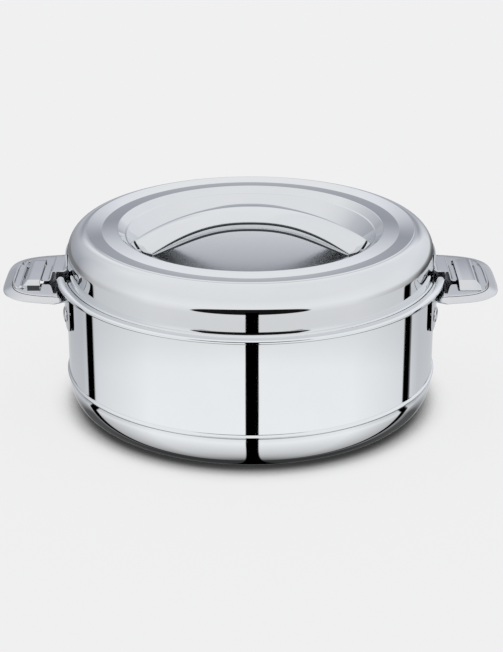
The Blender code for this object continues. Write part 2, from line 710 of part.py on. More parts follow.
def hinge_tab():
    inner = HINGE_OUT + TAB_SETBACK
    top = HINGE_HEIGHT + TONGUE_SHEET / 2 + TAB_OVER_TONGUE + TAB_SHEET
    flat_end = inner + TAB_FLAT_LENGTH
    root = flat_end + TAB_SLOPE_LENGTH
    middle = (flat_end + root) / 2
    rise = top - HANDLE_TOP
    rows = [tab_row(inner, top, TAB_DROOP), tab_row(flat_end - TAB_SLOPE_LENGTH / 2, top, TAB_DROOP)]
    knee, slope = (top - rise * share for share in TAB_FALL_SHARES)
    rows += [tab_row(flat_end, knee, TAB_DROOP), tab_row(middle, slope, TAB_DROOP / 2)]
    rows += [tab_row(root, HANDLE_TOP - HANDLE_SHEET / 4, 0)]
    tab = add_cutter("hinge_tab", grid_mesh("hinge_tab", rows))
    thicken(tab, TAB_SHEET, offset=1)
    return tab


def hinge_hole():
    inner = HINGE_OUT - HOLE_CLEARANCE
    outer = HINGE_OUT + TAB_SETBACK + TAB_FLAT_LENGTH + TAB_SLOPE_LENGTH / 2
    low = (-outer, -TAB_HALF_WIDTH, HANDLE_TOP - OVERRUN)
    high = (-inner, TAB_HALF_WIDTH, HANDLE_TOP + HANDLE_SHEET / 4)
    return add_cutter("hinge_hole", box_mesh("hinge_hole", low, high))


def left_handle():
    handle = handle_sheet("left_handle", -1)
    boolean(handle, hinge_hole())
    boolean(handle, hinge_tab(), "UNION")
    smooth(handle)
    return handle


# Lock side: slots in the handle, and a clip that slides in them over the lid's tongue
def lock_inner():
    return HINGE_OUT - 2 * GAP


def leg_span():
    middle = lock_inner() + LOCK_LENGTH / 2
    return middle - LEG_LENGTH / 2, middle + LEG_LENGTH / 2


def lock_slots():
    low, high = leg_span()
    name = "lock_slots"
    mesh = bpy.data.meshes.new(name)
    shape = bmesh.new()
    for side in (-1, 1):
        outer = side * (LOCK_HALF_WIDTH + GAP)
        inner = side * (LOCK_HALF_WIDTH - LOCK_SHEET - GAP)
        start = (low - LOCK_TRAVEL - GAP, min(inner, outer), HANDLE_TOP - OVERRUN)
        end = (high + GAP, max(inner, outer), HANDLE_TOP + OVERRUN)
        part = box_mesh(name + "_part", start, end)
        shape.from_mesh(part)
        bpy.data.meshes.remove(part)
    shape.to_mesh(mesh)
    shape.free()
    return add_cutter(name, mesh)


def right_handle():
    handle = handle_sheet("right_handle", 1)
    boolean(handle, lock_slots())
    smooth(handle)
    return handle


def lock_slider():
    inner = lock_inner()
    outer = inner + LOCK_LENGTH
    foot = HANDLE_TOP + 2 * GAP + LOCK_SHEET
    top = HANDLE_TOP + LOCK_RISE
    section = [(-LOCK_HALF_WIDTH, foot), (-LOCK_TOP_HALF_WIDTH, top)]
    section += [(LOCK_TOP_HALF_WIDTH, top), (LOCK_HALF_WIDTH, foot)]
    rows = [[(x, y, z) for y, z in section] for x in (outer, inner)]
    slider = add_object("lock_slider", grid_mesh("lock_slider", rows), steel("lock_slider"))
    thicken(slider, LOCK_SHEET)
    low, high = leg_span()
    for side, name in ((-1, "lock_leg_front"), (1, "lock_leg_back")):
        near = side * (LOCK_HALF_WIDTH - LOCK_SHEET)
        far = side * LOCK_HALF_WIDTH
        head_far = side * (LOCK_HALF_WIDTH + LEG_HEAD)
        bottom = HANDLE_TOP - HANDLE_SHEET - RETAINER_DROP - GAP
        start = (low, min(near, far), bottom - LEG_HEAD)
        leg = box_mesh(name, start, (high, max(near, far), foot - LOCK_SHEET / 4))
        head = box_mesh(name + "_head", (low, min(near, head_far), bottom - LEG_HEAD),
                        (high, max(near, head_far), bottom))
        boolean(slider, add_cutter(name, leg), "UNION")
        boolean(slider, add_cutter(name + "_head", head), "UNION")
    return slider


def lock_retainer():
    low, high = leg_span()
    top = HANDLE_TOP - HANDLE_SHEET - RETAINER_DROP + RETAINER_SHEET
    half = LOCK_HALF_WIDTH + RETAINER_MARGIN
    start = (low - RETAINER_MARGIN, -half, top - RETAINER_SHEET)
    end = (high + RETAINER_MARGIN, half, top)
    retainer = add_object("lock_retainer", box_mesh("lock_retainer", start, end), steel("lock_retainer"))
    for side, name in ((-1, "retainer_slot_front"), (1, "retainer_slot_back")):
        near = side * (LOCK_HALF_WIDTH - LOCK_SHEET - GAP)
        far = side * (LOCK_HALF_WIDTH + GAP)
        slot_start = (low - GAP, min(near, far), top - OVERRUN)
        slot = box_mesh(name, slot_start, (high + GAP, max(near, far), top + OVERRUN))
        boolean(retainer, add_cutter(name, slot))
    return retainer


def lock_spring():
    """A bowed leaf between the retainer and the underside of the handle."""
    low, high = leg_span()
    middle = (low + high) / 2
    bottom = HANDLE_TOP - HANDLE_SHEET - RETAINER_DROP + RETAINER_SHEET + GAP
    rise = RETAINER_DROP - RETAINER_SHEET - 2 * GAP - SPRING_SHEET
    rows = []
    for along in (middle + SPRING_WIDTH / 2, middle - SPRING_WIDTH / 2):
        row = []
        for share in SPRING_SHARES:
            height = bottom + SPRING_SHEET + rise * (1 - share ** 2)
            row.append((along, share * SPRING_HALF_LENGTH, height))
        rows.append(row)
    spring = add_object("lock_spring", grid_mesh("lock_spring", rows), steel("lock_spring"))
    thicken(spring, SPRING_SHEET)
    return spring


# Joints: an empty on each axis carries the pieces that move about it
def joint_empty(name, place, pieces):
    empty = bpy.data.objects.new(name, None)
    PARTS.objects.link(empty)
    empty.location = place
    for piece in pieces:
        piece.parent = empty
        piece.matrix_parent_inverse = Matrix.Translation(place).inverted()


# Assembly
RIVET_HOLES = {side: rivet_hole_cutter(side) for side in (-1, 1)}
BACKING_POCKETS = {side: backing_pocket(side) for side in (-1, 1)}

outer_shell()
inner_bowl()
body_insulation()
base_plug()
left_handle()
right_handle()
backing_plate("left_backing_plate", -1)
backing_plate("right_backing_plate", 1)
for side_name, side in (("left", -1), ("right", 1)):
    handle_rivet(side_name + "_rivet_front", side, -1)
    handle_rivet(side_name + "_rivet_back", side, 1)

lid_pieces = [lid_cover(), lid_liner(), lid_insulation(), lid_plug(), lid_seal(), lid_strap_handle()]
lid_pieces += [bracket("left_lid_bracket", -1, HINGE_OUT + HOOK_LENGTH)]
lid_pieces += [bracket("right_lid_bracket", 1, lock_inner() - GAP)]
joint_empty("lid_hinge", (-HINGE_OUT, 0, HINGE_HEIGHT), lid_pieces)
lock_pieces = [lock_slider(), lock_retainer(), lock_spring()]
joint_empty("lock_slide", (lock_inner() + LOCK_LENGTH / 2, 0, HANDLE_TOP), lock_pieces)
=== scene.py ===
"""Insulated chapati casserole: mirror polished sheet steel pieces in a plain bright studio.

Metres, +Z up, the pot's axis on the origin. The hinge side is -X and the lock side is +X.
The script goes through the object as it is put together: pot, handles, lid, lock, studio.
"""
import math

import bmesh
import bpy
import numpy as np
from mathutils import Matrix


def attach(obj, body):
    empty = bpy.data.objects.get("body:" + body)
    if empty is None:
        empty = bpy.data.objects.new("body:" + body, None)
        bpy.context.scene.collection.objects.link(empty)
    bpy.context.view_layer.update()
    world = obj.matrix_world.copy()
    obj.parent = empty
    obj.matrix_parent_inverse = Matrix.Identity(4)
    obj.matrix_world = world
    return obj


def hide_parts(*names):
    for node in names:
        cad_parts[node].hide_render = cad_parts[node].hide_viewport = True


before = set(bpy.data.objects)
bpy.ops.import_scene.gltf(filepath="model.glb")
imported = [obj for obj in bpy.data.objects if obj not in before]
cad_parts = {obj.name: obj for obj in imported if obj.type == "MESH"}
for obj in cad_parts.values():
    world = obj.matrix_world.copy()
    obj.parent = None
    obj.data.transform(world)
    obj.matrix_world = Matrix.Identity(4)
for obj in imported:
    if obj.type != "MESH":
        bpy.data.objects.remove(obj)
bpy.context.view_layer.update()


# Outer shell. A deep-drawn cup of polished stainless steel: straight wall, one rolled ridge, a
# rounded bottom with a flat foot ring, and a flange turned out at the top that the bowl's rim
# rolls over. The hole in its bottom is where the foam is poured in.
SHEET = 0.0007
WALL_RADIUS = 0.1125
RIDGE_HEIGHT, RIDGE_HALF, RIDGE_SWELL = 0.0231, 0.0014, 0.0011
FOOT_RADIUS, BOTTOM_HEIGHT = 0.0975, 0.0198
FILLING_HOLE = 0.0073
STEPS_AROUND = 288
SHARP_EDGE = math.radians(32)


def rounded_path(corners, radii, steps=8):
    """Straight runs between corners, each inner corner replaced by a circle arc tangent to both
    runs: the arc's points are the centre plus a radius turned evenly between the two tangents."""
    corners = np.asarray(corners, float)
    pieces = [corners[:1]]
    for before, corner, after, radius in zip(corners, corners[1:], corners[2:], radii):
        back, ahead = before - corner, after - corner
        back_length, ahead_length = np.linalg.norm(back), np.linalg.norm(ahead)
        back, ahead = back / back_length, ahead / ahead_length
        half = math.acos(np.clip(back @ ahead, -1, 1)) / 2
        reach = min(radius / math.tan(half), 0.49 * back_length, 0.49 * ahead_length)
        radius = reach * math.tan(half)
        middle = (back + ahead) / np.linalg.norm(back + ahead)
        centre = corner + middle * radius / math.sin(half)
        sweep = math.pi - 2 * half
        share = np.linspace(0, 1, steps + 1)[:, None]
        start, end = corner + back * reach - centre, corner + ahead * reach - centre
        turned = start * np.sin((1 - share) * sweep) + end * np.sin(share * sweep)
        pieces.append(centre + turned / math.sin(sweep))
    return np.concatenate(pieces + [corners[-1:]])


def oval_arc(centre, radii, start, end, steps):
    """Points centre + (a cos t, b sin t), with t running evenly from start to end in degrees."""
    turn = np.radians(np.linspace(start, end, steps + 1))
    return np.stack([centre[0] + radii[0] * np.cos(turn), centre[1] + radii[1] * np.sin(turn)], 1)


def beside(path, distance):
    """The path moved to its right: each point goes along the sum of its two runs' normals, by
    twice the distance over that sum's squared length, which keeps both runs at the distance."""
    runs = np.diff(path, axis=0)
    normals = np.stack([runs[:, 1], -runs[:, 0]], 1) / np.linalg.norm(runs, axis=1)[:, None]
    both = np.concatenate([normals[:1], normals]) + np.concatenate([normals, normals[-1:]])
    return path + both * (2 * distance / (both ** 2).sum(1))[:, None]


def sheet_loop(path, sheet):
    """Cross-section of a sheet: its outer face there, and the face on its right back again."""
    inner = beside(path, sheet)
    inner[:, 0] = np.where(path[:, 0] == 0, 0, inner[:, 0])
    return np.concatenate([path, inner[::-1]])


def grid_faces(rows, columns, closed_rows=False, closed_columns=False):
    """Quads between neighbours of a grid whose points are numbered row by row."""
    number = np.arange(rows * columns).reshape(rows, columns)
    if closed_rows:
        number = np.concatenate([number, number[:1]])
    if closed_columns:
        number = np.concatenate([number, number[:, :1]], 1)
    corners = (number[:-1, :-1], number[1:, :-1], number[1:, 1:], number[:-1, 1:])
    return np.stack(corners, -1).reshape(-1, 4)


def turned_grid(loop, around):
    """A profile turned about the pot's axis: (r, z) at angle a goes to (r cos a, r sin a, z)."""
    turn = np.linspace(0, math.tau, around, endpoint=False)[:, None]
    x, y = loop[:, 0] * np.cos(turn), loop[:, 0] * np.sin(turn)
    points = np.stack([x, y, np.broadcast_to(loop[:, 1], x.shape)], -1).reshape(-1, 3)
    touches_axis = loop[0, 0] == 0 and loop[-1, 0] == 0
    return points, grid_faces(around, len(loop), closed_rows=True, closed_columns=not touches_axis)


def make_piece(name, parts, material, body, stands_for):
    """One closed mesh from (points, faces) arrays. Doubles merge, and a shell that has come out
    with a negative volume is turned right side out."""
    shape = bmesh.new()
    for points, faces in parts:
        block = bpy.data.meshes.new(name)
        block.from_pydata(points.tolist(), [], faces.tolist())
        shell = bmesh.new()
        shell.from_mesh(block)
        bmesh.ops.remove_doubles(shell, verts=shell.verts, dist=2e-7)
        if shell.calc_volume(signed=True) < 0:
            bmesh.ops.reverse_faces(shell, faces=shell.faces)
        shell.to_mesh(block)
        shell.free()
        shape.from_mesh(block)
        bpy.data.meshes.remove(block)
    mesh = bpy.data.meshes.new(name)
    shape.to_mesh(mesh)
    shape.free()
    mesh.materials.append(material)
    mesh.shade_smooth()
    mesh.set_sharp_from_angle(angle=SHARP_EDGE)
    piece = bpy.data.objects.new(name, mesh)
    bpy.context.scene.collection.objects.link(piece)
    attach(piece, body)
    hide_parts(stands_for)
    return piece


def feed(tree, node, inputs):
    """Links each named or numbered input of a node to a socket, or sets it to a value."""
    for key, value in inputs.items():
        if isinstance(value, bpy.types.NodeSocket):
            tree.links.new(value, node.inputs[key])
        else:
            node.inputs[key].default_value = value


def add_node(tree, kind, inputs, **settings):
    """A new shader node of a kind, with its settings made and its inputs fed."""
    node = tree.nodes.new(f"ShaderNode{kind}")
    for label, value in settings.items():
        setattr(node, label, value)
    feed(tree, node, inputs)
    return node


def add_ramp(tree, factor, stops):
    """The colour of a ramp with stops of (place, tone), where a tone is a grey or (r, g, b)."""
    node = add_node(tree, "ValToRGB", {"Fac": factor})
    elements = node.color_ramp.elements
    elements.remove(elements[0])
    for index, (place, tone) in enumerate(stops):
        stop = elements[0] if index == 0 else elements.new(place)
        stop.position = place
        stop.color = (*tone, 1.0) if isinstance(tone, tuple) else (tone, tone, tone, 1.0)
    return node.outputs["Color"]


def object_place(tree):
    """The Object coordinates of the surface."""
    return add_node(tree, "TexCoord", {}).outputs["Object"]


def new_group(name, inputs, outputs):
    """An empty shader node group with named number inputs and named number outputs."""
    group = bpy.data.node_groups.new(name, "ShaderNodeTree")
    for label, value in inputs:
        socket = group.interface.new_socket(label, in_out="INPUT", socket_type="NodeSocketFloat")
        socket.default_value = value
    for label in outputs:
        group.interface.new_socket(label, in_out="OUTPUT", socket_type="NodeSocketFloat")
    return group, group.nodes.new("NodeGroupInput"), group.nodes.new("NodeGroupOutput")


def polish_group():
    """Buffed steel: a soft cloudy haze from two noises, with a few faint wipe marks, gives the
    roughness and a mask, and a slow noise gives the slight ripple of pressed sheet."""
    inputs = [("Clearest", 0.03), ("Haziest", 0.07), ("Cloud size", 40.0), ("Ripple size", 30.0)]
    group, entry, leave = new_group("buffed_sheet", inputs, ("Roughness", "Cloud", "Ripple"))
    place = object_place(group)
    cloud = add_node(group, "TexNoise", {
        "Vector": place, "Scale": entry.outputs["Cloud size"], "Detail": 5.0, "Roughness": 0.6})
    stretched = add_node(group, "Mapping", {
        "Vector": place, "Scale": (900.0, 900.0, 30.0), "Rotation": (0.5, 0.2, 0.4)})
    wipes = add_node(group, "TexNoise", {
        "Vector": stretched.outputs["Vector"], "Scale": 1.0, "Detail": 3.0})
    marks = add_node(group, "MapRange", {
        "Value": wipes.outputs["Fac"], "From Min": 0.62, "From Max": 0.80})
    joined = add_node(group, "Math", {
        0: marks.outputs["Result"], 1: 0.5, 2: cloud.outputs["Fac"]},
        operation="MULTIPLY_ADD", use_clamp=True)
    rough = add_node(group, "MapRange", {
        "Value": joined.outputs["Value"], "From Min": 0.35,
        "To Min": entry.outputs["Clearest"], "To Max": entry.outputs["Haziest"]})
    ripple = add_node(group, "TexNoise", {
        "Vector": place, "Scale": entry.outputs["Ripple size"], "Detail": 1.0})
    feed(group, leave, {"Roughness": rough.outputs["Result"], "Cloud": cloud.outputs["Fac"],
                        "Ripple": ripple.outputs["Fac"]})
    return group


def turning_group():
    """Rings left by turning against a die: a noise that changes only with the distance from the
    pot's axis and with the height, at a fine pitch."""
    group, entry, leave = new_group("turning_rings", [("Pitch", 2500.0)], ("Rings",))
    place = object_place(group)
    flat = add_node(group, "VectorMath", {0: place, 1: (1.0, 1.0, 0.0)}, operation="MULTIPLY")
    radius = add_node(group, "VectorMath", {0: flat.outputs["Vector"]}, operation="LENGTH")
    height = add_node(group, "SeparateXYZ", {"Vector": place})
    along = add_node(group, "Math", {0: radius.outputs["Value"], 1: height.outputs["Z"]})
    scaled = add_node(group, "Math", {0: along.outputs["Value"], 1: entry.outputs["Pitch"]},
                      operation="MULTIPLY")
    rings = add_node(group, "TexNoise", {
        "W": scaled.outputs["Value"], "Scale": 1.0, "Detail": 3.0}, noise_dimensions="1D")
    feed(group, leave, {"Rings": rings.outputs["Fac"]})
    return group


BUFFED_SHEET = polish_group()
TURNING_RINGS = turning_group()


def new_material(name):
    """A node material, with its tree and its shader."""
    material = bpy.data.materials.new(name)
    material.use_nodes = True
    return material, material.node_tree, material.node_tree.nodes["Principled BSDF"]


def dent(tree, shader, height, depth):
    """Feeds a height pattern to the shader's normal, as a bump that is depth metres high."""
    bump = add_node(tree, "Bump", {"Height": height, "Distance": depth})
    feed(tree, shader, {"Normal": bump.outputs["Normal"]})


def steel(name, clearest, haziest, ripple, rings=0.0,
          light=(0.83, 0.85, 0.87), dark=(0.79, 0.815, 0.84)):
    """Stainless steel: the buffed haze as roughness, two close tones mixed by the cloud, and the
    ripple, with turning rings where they show, as height in metres on a Bump."""
    material, tree, shader = new_material(name)
    buffed = add_node(tree, "Group", {"Clearest": clearest, "Haziest": haziest},
                      node_tree=BUFFED_SHEET).outputs
    tone = add_node(tree, "Mix", {"Factor": buffed["Cloud"], "A": (*light, 1.0), "B": (*dark, 1.0)},
                    data_type="RGBA")
    feed(tree, shader, {"Metallic": 1.0, "Roughness": buffed["Roughness"],
                        "Base Color": tone.outputs["Result"]})
    turning = add_node(tree, "Group", {}, node_tree=TURNING_RINGS)
    height = add_node(tree, "Math", {
        0: turning.outputs["Rings"], 1: rings, 2: buffed["Ripple"]}, operation="MULTIPLY_ADD")
    dent(tree, shader, height.outputs["Value"], ripple)
    return material


POLISHED = steel("polished_steel_wall", 0.02, 0.055, 0.00002)


def shell_path():
    """The shell's outer face from the flange's edge to the filling hole. The ridge is a raised
    cosine on the wall, and the bottom is a quarter of an ellipse that lands on the foot ring.
    Points along the straight wall keep its shading apart from the bends at its ends."""
    flange = [(0.1158, 0.0830), (0.1158, 0.0823), (WALL_RADIUS, 0.0823), (WALL_RADIUS, 0.0600)]
    wall = [(WALL_RADIUS, height) for height in (0.0806, 0.0600, 0.0250)]
    share = np.linspace(1, -1, 33)
    swell = RIDGE_SWELL * (1 + np.cos(math.pi * np.abs(share) ** 1.25)) / 2
    ridge = np.stack([WALL_RADIUS + swell, RIDGE_HEIGHT + RIDGE_HALF * share], 1)
    bottom = oval_arc((FOOT_RADIUS, BOTTOM_HEIGHT), (0.0150, BOTTOM_HEIGHT), 0, -90, 40)
    inside = [(FOOT_RADIUS, 0.0), (0.0932, 0.0), (0.0900, 0.0025), (FILLING_HOLE, 0.0025)]
    return np.concatenate([rounded_path(flange, (0.0003, 0.0010))[:-1], wall, ridge,
                           bottom[1:], rounded_path(inside, (0.0006, 0.0008))[1:]])


make_piece("shell_sheet", [turned_grid(sheet_loop(shell_path(), SHEET), STEPS_AROUND)], POLISHED,
           "body", "outer_shell")


# Inner bowl. Drawn from the same sheet: flat floor, straight wall, a ledge that carries the lid's
# seal, and a rim rolled out and down over the shell's flange, which is the bead that shows
# between pot and lid. Its inside is satin from the press.
BOWL_INSIDE = steel("satin_bowl_steel", 0.10, 0.22, 0.00002, rings=0.05)
BOWL_FLOOR, LEDGE_HEIGHT, SATIN_RADIUS = 0.0100, 0.0839, 0.1126


def bowl_path():
    """The bowl's inner face from the middle of its floor, over the ledge, round the rolled rim."""
    wall = [(0.0, BOWL_FLOOR), (0.0960, BOWL_FLOOR), (0.0990, LEDGE_HEIGHT),
            (0.1090, LEDGE_HEIGHT), (0.1096, 0.0833), (0.1122, 0.0833), (0.1129, 0.0840)]
    over = oval_arc((0.1157, 0.0840), (0.0028, 0.0010), 180, 0, 28)
    under = oval_arc((0.1171, 0.0832), (0.0014, 0.0012), 0, -110, 14)
    rounded = rounded_path(wall, (0.0120, 0.0020, 0.0003, 0.0003, 0.0006), 12)
    return np.concatenate([rounded, over[1:], under])


def face_rows(piece, field):
    """The centre or the normal of each of a piece's faces, a row for each."""
    values = np.zeros(len(piece.data.polygons) * 3)
    piece.data.polygons.foreach_get(field, values)
    return values.reshape(-1, 3)


def finish_faces(piece, materials, slots):
    """Adds further materials to a piece and gives each face the slot of its own."""
    for material in materials:
        piece.data.materials.append(material)
    piece.data.polygons.foreach_set("material_index", np.asarray(slots, np.int32))


bowl = make_piece("bowl_sheet", [turned_grid(sheet_loop(bowl_path(), SHEET), STEPS_AROUND)],
                  POLISHED, "body", "inner_bowl")
face_place = face_rows(bowl, "center")
finish_faces(bowl, [BOWL_INSIDE], np.hypot(face_place[:, 0], face_place[:, 1]) < SATIN_RADIUS)


# Foam. Rigid polyurethane poured between shell and bowl, where it sets against the steel. It is
# pale yellow with fine closed cells, and the plug hides it. The lid's own fill comes with the lid.
def foam_material():
    """Fine cells from a Voronoi pattern darken the colour and dent the surface, over a slow
    yellowing noise."""
    material, tree, shader = new_material("insulation_foam")
    place = object_place(tree)
    cells = add_node(tree, "TexVoronoi", {"Vector": place, "Scale": 900.0}).outputs["Distance"]
    ageing = add_node(tree, "TexNoise", {"Vector": place, "Scale": 18.0}).outputs["Fac"]
    depth = add_node(tree, "Math", {0: cells, 1: ageing}, operation="MULTIPLY").outputs["Value"]
    tones = add_ramp(tree, depth, [(0.0, (0.88, 0.80, 0.55)), (1.0, (0.62, 0.50, 0.26))])
    feed(tree, shader, {"Roughness": 0.9, "Base Color": tones})
    dent(tree, shader, cells, 0.0003)
    return material


def finish_solid(name, material):
    """A solid of the frame that shows as it is gets its material."""
    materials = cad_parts[name].data.materials
    materials.clear()
    materials.append(material)


FOAM = foam_material()
finish_solid("body_insulation", FOAM)


# Plugs. Two black moulded plastic buttons with a flange, pushed into the filling holes of the
# shell's bottom and of the lid's liner once the foam has set.
def mottled_material(name, scale, detail, tones, roughness):
    """A material whose colour runs between two tones and whose roughness runs between two values
    by one noise. Gives the material, its tree, its shader and the noise."""
    material, tree, shader = new_material(name)
    noise = add_node(tree, "TexNoise", {
        "Vector": object_place(tree), "Scale": scale, "Detail": detail}).outputs["Fac"]
    rough = add_node(tree, "MapRange", {
        "Value": noise, "To Min": roughness[0], "To Max": roughness[1]})
    feed(tree, shader, {"Base Color": add_ramp(tree, noise, list(zip((0.0, 1.0), tones))),
                        "Roughness": rough.outputs["Result"]})
    return material, tree, shader, noise


PLUG_PLASTIC, plug_tree, plug_shader, plug_grain = mottled_material(
    "black_plug_plastic", 1500.0, 2.0, ((0.010, 0.010, 0.011), (0.022, 0.022, 0.024)), (0.38, 0.58))
dent(plug_tree, plug_shader, plug_grain, 0.00003)


def plug_path(bottom):
    """A button on the axis: a rounded flange below and a stem that tapers at its tip."""
    stem, flange, flange_top, top = 0.0070, 0.0100, bottom + 0.0011, bottom + 0.0040
    corners = [(0.0, top), (0.0064, top), (stem, bottom + 0.0032), (stem, flange_top),
               (flange, flange_top), (flange, bottom), (0.0, bottom)]
    return rounded_path(corners, (0.0004, 0.0005, 0.0002, 0.0005, 0.0009), 5)


make_piece("base_plug_button", [turned_grid(plug_path(0.0011), 64)], PLUG_PLASTIC,
           "body", "base_plug")
make_piece("lid_plug_button", [turned_grid(plug_path(0.0806), 64)], PLUG_PLASTIC,
           "lid", "lid_plug")


# Side handles. Each is one stamping of 1.2 mm sheet: a D-shaped pan whose edge is pressed down to
# a sloping border, bent down at the wall into a footplate. The left one has a bridge lanced up
# from it that holds the lid's hook, and the right one has two slots for the lock's legs.
HANDLE_SHEET = 0.0012
PAN_TOP, PAN_START, PAN_REACH, PAN_HALF, PAN_TAPER = 0.0796, 0.1120, 0.0322, 0.0372, 0.13
BORDER_REACH, BORDER_HALF, BORDER_DROP = 0.0374, 0.0428, 0.0016
PLATE_OUT, PLATE_BEND, PLATE_HALF, PLATE_CORNER = 0.1128, 0.0035, 0.0355, 0.0050
CUT_NEAR, BRIDGE_FAR, SLOT_FAR = 0.1256, 0.1396, 0.1328
PRESSED = steel("polished_steel_pressings", 0.03, 0.08, 0.00003,
                light=(0.71, 0.725, 0.745), dark=(0.67, 0.685, 0.705))
# Rough steel painted near black: a painted shade, put on the handles' crease lines and cut edges,
# the strap's groove and hem, and the brackets' undersides.
SHADE_PAINTED_STEEL = steel("rough_steel_painted_shade", 0.25, 0.45, 0.00003,
                  light=(0.10, 0.10, 0.105), dark=(0.06, 0.06, 0.065))


def sheet_shell(points, faces, sheet):
    """A surface and its copy moved against the surface's normals by the sheet's thickness, joined
    along every open edge. Normals are the summed cross products of each face's diagonals."""
    _, same = np.unique(np.round(points * 1e7).astype(np.int64), axis=0, return_inverse=True)
    same = same.ravel()
    corners = points[faces]
    across = np.cross(corners[:, 2] - corners[:, 0], corners[:, 3] - corners[:, 1])
    normals = np.zeros((same.max() + 1, 3))
    np.add.at(normals, same[faces].ravel(), np.repeat(across, 4, axis=0))
    normals = (normals / np.maximum(np.linalg.norm(normals, axis=1), 1e-15)[:, None])[same]
    runs = np.stack([faces, np.roll(faces, -1, axis=1)], -1).reshape(-1, 2)
    ends = same[runs]
    runs, ends = runs[ends[:, 0] != ends[:, 1]], ends[ends[:, 0] != ends[:, 1]]
    size = same.max() + 1
    lone = runs[~np.isin(ends[:, 0] * size + ends[:, 1], ends[:, 1] * size + ends[:, 0])]
    count = len(points)
    rim = np.stack([lone[:, 1], lone[:, 0], lone[:, 0] + count, lone[:, 1] + count], -1)
    return (np.concatenate([points, points - normals * sheet]),
            np.concatenate([faces, faces[:, ::-1] + count, rim]))


def pan_rows(cut_far):
    """Rows of the pan for the +X side, from the footplate's lower edge to the tip. Each row holds
    its place out, its height, its half width and the vector to the border's outer edge. In plan
    the panel and its border are superellipses of the power 4, narrowed in step with the reach."""
    corner_top = 0.0601
    low = np.concatenate([[0.0551, 0.0554, 0.0563, 0.0578, corner_top],
                          np.linspace(0.0625, 0.0700, 4)])
    into_corner = np.clip(corner_top - low, 0, None)
    corner = PLATE_CORNER - np.sqrt(np.maximum(PLATE_CORNER ** 2 - into_corner ** 2, 0))
    turn = np.radians(np.linspace(180, 90, 17))
    out = np.concatenate([np.full(len(low), PLATE_OUT),
                          PLATE_OUT + PLATE_BEND + PLATE_BEND * np.cos(turn)])
    height = np.concatenate([low, PAN_TOP - PLATE_BEND + PLATE_BEND * np.sin(turn)])
    blend = np.concatenate([np.zeros(len(low)), np.linspace(0, 1, len(turn))])
    half = PLATE_HALF + 0.0016 * blend - np.concatenate([corner, np.zeros(len(turn))])
    border = np.stack([np.zeros(len(out)), 0.0056 * blend,
                       np.minimum(PAN_TOP - BORDER_DROP - height, 0)], 1)
    straight = np.concatenate([np.linspace(out[-1], CUT_NEAR, 5)[1:],
                               np.linspace(CUT_NEAR, cut_far, 9)[1:]])
    straight_angle = np.arccos(((straight - PAN_START) / PAN_REACH) ** 2)
    angle = np.concatenate([straight_angle,
                            straight_angle[-1] * np.linspace(1, 0, 33)[1:] ** 1.3])
    outward, sideways = np.sqrt(np.cos(angle)), np.sqrt(np.sin(angle))
    taper = 1 - PAN_TAPER * outward
    far = PAN_START + PAN_REACH * outward
    half_far = PAN_HALF * sideways * taper
    border_far = np.stack([PAN_START + BORDER_REACH * outward - far,
                           BORDER_HALF * sideways * taper - half_far,
                           np.full(len(far), -BORDER_DROP)], 1)
    rows = np.stack([np.concatenate([out, far]),
                     np.concatenate([height, np.full(len(far), PAN_TOP)]),
                     np.concatenate([half, half_far])], 1)
    return (rows, np.concatenate([border, border_far]),
            np.concatenate([blend, np.ones(len(far))]))


def pan_surface(cut_far, cut_lines):
    """The pan's top face as a grid. Along a row, columns run up round the turned edge, through
    the border and its rounded crease, a quadratic curve, then level over the panel."""
    rows, border, blend = pan_rows(cut_far)
    out, height, half = rows.T
    tiny, curl_start, curl_end = 1e-9, 0.28, 1.5
    depth = np.linalg.norm(border, axis=1)
    crease = np.minimum(0.0010, 0.4 * np.maximum(depth, tiny))[:, None, None]
    slope = border / np.maximum(depth, tiny)[:, None]
    flat = border * (1, 1, 0)
    level = flat / np.maximum(np.linalg.norm(flat, axis=1), tiny)[:, None]
    start, end = -level[:, None] * crease, slope[:, None] * crease
    share = np.linspace(0, 1, 7)[None, :, None]
    bend = start * (1 - share) ** 2 + end * share ** 2
    tail_share = np.linspace(0, 1, 4)[None, 1:, None]
    tail = slope[:, None] * (crease + (depth[:, None, None] - crease) * tail_share)
    roll = 0.0007 * np.minimum(1, depth / 0.0030)[:, None]
    turn = np.linspace(curl_start, curl_end, 7)[None, 1:]
    curl = (tail[:, -1:]
            + (roll * (np.sin(turn) - math.sin(curl_start)))[..., None] * level[:, None]
            + (roll * (np.cos(turn) - math.cos(curl_start)))[..., None] * np.array([0, 0, 1.0]))
    edge = np.concatenate([bend, tail, curl], 1)
    edge[depth < 1e-6] = 0
    corner = np.stack([out, half, height], 1)[:, None]
    back = corner + edge
    front = back[:, ::-1] * (1, -1, 1)
    lines = np.asarray(cut_lines)
    inset = np.maximum(half + edge[:, 0, 1], 0)[:, None]
    steady = np.minimum(lines, 0.8 * inset * lines / lines[-1])
    outward = np.linspace(0, 1, 5)[None, 1:-1]
    right = np.concatenate([steady, steady[:, -1:] + (inset - steady[:, -1:]) * outward], 1)
    across = np.concatenate([-right[:, ::-1], np.zeros((len(out), 1)), right], 1)
    lead = np.maximum(half[:, None] - np.abs(across), 0)
    drift = np.where(lead < 0.0001, edge[:, 0, 0][:, None], 0)
    middle = np.stack([out[:, None] + drift, across,
                       np.broadcast_to(height[:, None], across.shape)], -1)
    surface = np.concatenate([front, middle, back], 1)
    aside = np.minimum(np.abs(surface[..., 1]), 0.05)
    sag = PLATE_OUT - np.sqrt(PLATE_OUT ** 2 - aside ** 2)
    surface[..., 0] -= sag * (1 - blend)[:, None]
    return surface


def cut_out(surface, boxes):
    """The grid's faces, without those whose middle lies in one of the (x, y) boxes."""
    points = surface.reshape(-1, 3)
    faces = grid_faces(*surface.shape[:2])
    x, y, _ = points[faces].mean(1).T
    keep = np.ones(len(faces), bool)
    for (x0, x1), (y0, y1) in boxes:
        keep &= ~((x > x0) & (x < x1) & (y > y0) & (y < y1))
    return points, faces[keep]


